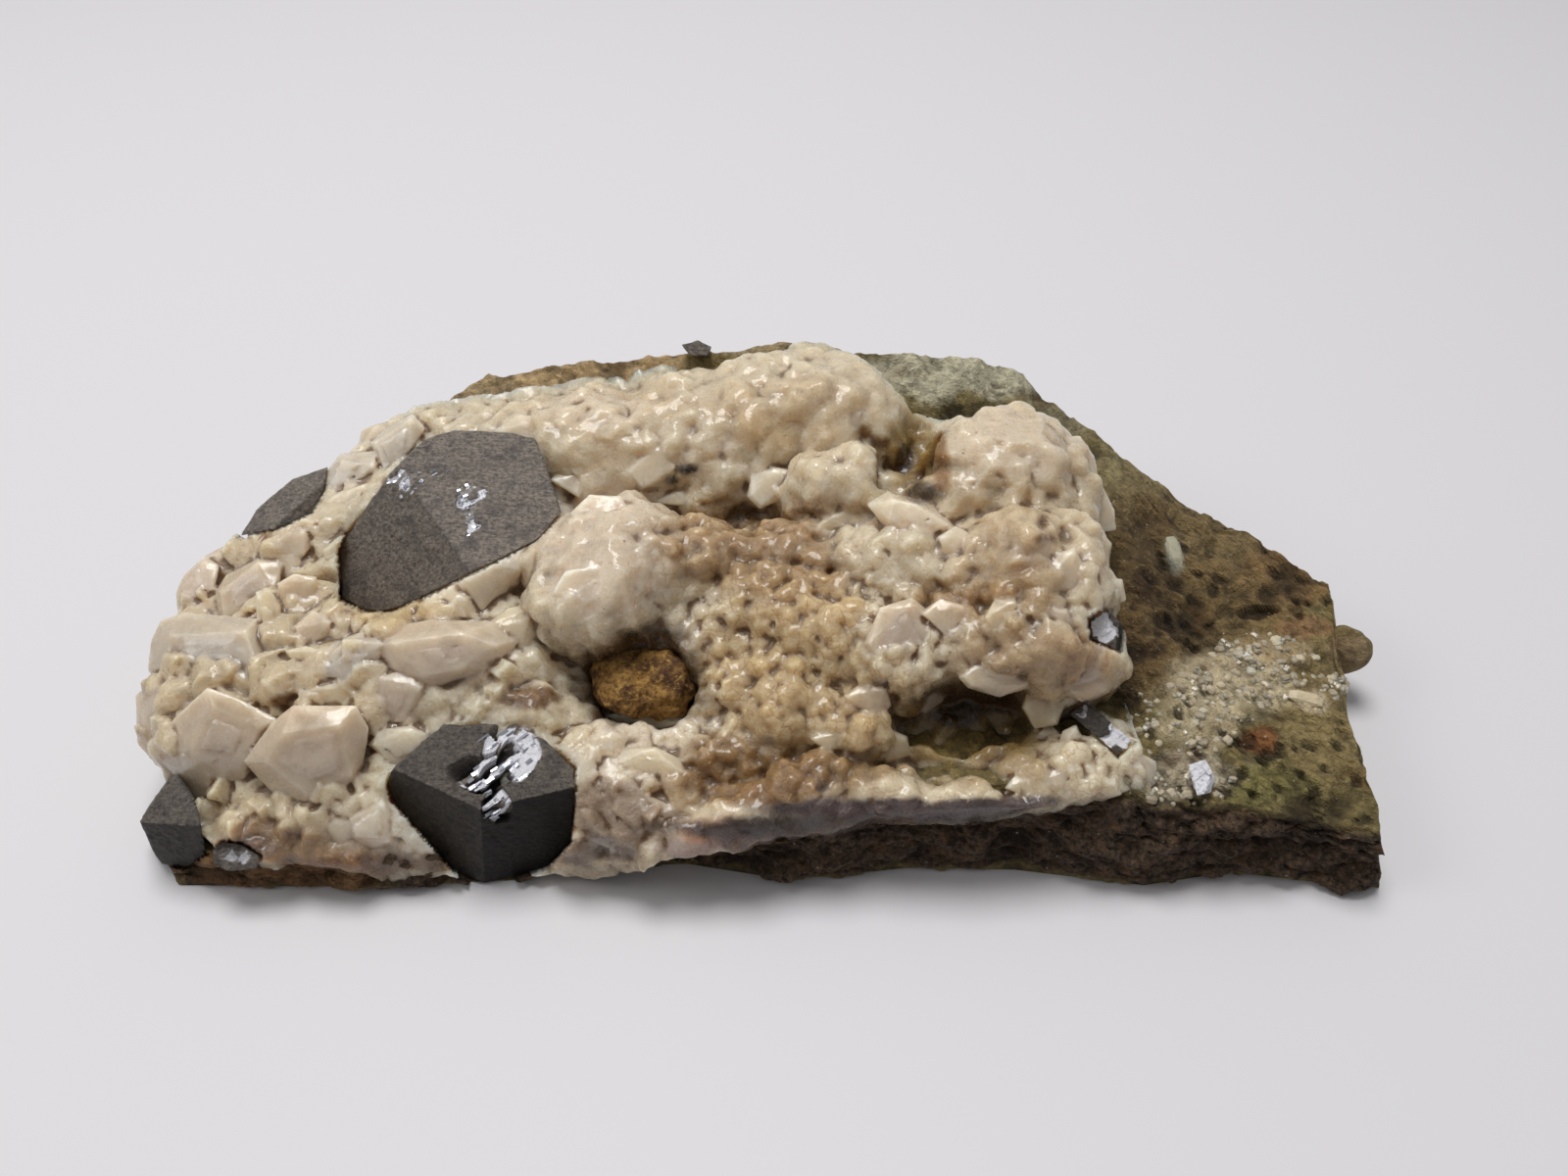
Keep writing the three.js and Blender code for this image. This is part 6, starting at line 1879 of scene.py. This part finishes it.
ochre_material, wire, place = new_material("iron_ochre")
broad = wire.noise(place, 0.55, 4.0, 0.6)
fine = wire.noise(place, 3.0, 5.0, 0.65)
base = broad.between(0.38, 0.6).blend(ink(92, 62, 38), ink(160, 120, 64))
base = (fine.between(0.5, 0.72) * 0.8).blend(base, ink(206, 166, 92))
base = (fine.between(0.5, 0.32) * 0.8).blend(base, ink(66, 42, 26))
finish_material(
    wire,
    {
        "Base Color": base,
        "Roughness": 0.5 + 0.5 * fine,
        "Specular IOR Level": 0.4,
        "Normal": wire.bump(fine + 0.5 * wire.noise(place, 9.0, 3.0), 0.2),
    },
)
lump = new_piece("ochre_knot", points, triangles, ochre_material)
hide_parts("ochre_lump")


# Table and light. A plain pale table under a wide soft lamp overhead, with pale air around it.
TABLE_HALF = 2.0
LAMPS = [
    # [name, place, size, power]
    ["overhead", (-0.05, 0.10, 0.50), 0.24, 1.85],
    ["side", (-0.40, -0.05, 0.34), 0.24, 0.4],
]
AIR_UP = (0, 0.5, 0.8)  # the way towards which the air is brightest
AIR_LOW = (0.08, 0.08, 0.08, 1)
AIR_HIGH = (0.36, 0.36, 0.365, 1)

table_mesh = bpy.data.meshes.new("table")
corners = [(x * TABLE_HALF, y * TABLE_HALF, 0) for x, y in ((-1, -1), (1, -1), (1, 1), (-1, 1))]
table_mesh.from_pydata(corners, [], [(0, 1, 2, 3)])
table_material, wire, place = new_material("table")
finish_material(wire, {"Base Color": ink(214, 212, 214), "Roughness": 0.6})
table_mesh.materials.append(table_material)
table = in_scene("table", table_mesh)
table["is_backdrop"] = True

for name, spot, size, power in LAMPS:
    lamp_data = bpy.data.lights.new(name, "AREA")
    lamp_data.shape = "DISK"
    lamp_data.size = size
    lamp_data.energy = power
    lamp = in_scene(name, lamp_data)
    lamp.location = spot
    lamp.rotation_euler = (-lamp.location).to_track_quat("-Z", "Y").to_euler()

world = bpy.data.worlds.new("pale_air")
world.use_nodes = True
tree = world.node_tree
tree.nodes.clear()
wire = Wire(tree)
way = wire.node("ShaderNodeTexCoord", {}, {}, "Generated")
towards = {0: way, 1: AIR_UP}
lift = wire.node("ShaderNodeVectorMath", {"operation": "DOT_PRODUCT"}, towards, "Value")
air = lift.between(-0.5, 0.8).blend(AIR_LOW, AIR_HIGH)
background = wire.node("ShaderNodeBackground", {}, {"Color": air, "Strength": 1.0})
output = tree.nodes.new("ShaderNodeOutputWorld")
tree.links.new(background.socket, output.inputs["Surface"])
bpy.context.scene.world = world
bpy.context.scene.view_settings.view_transform = "Standard"

sizes = {"cad": [list(corner) for corner in cad_box], "scene": [list(corner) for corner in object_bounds()]}
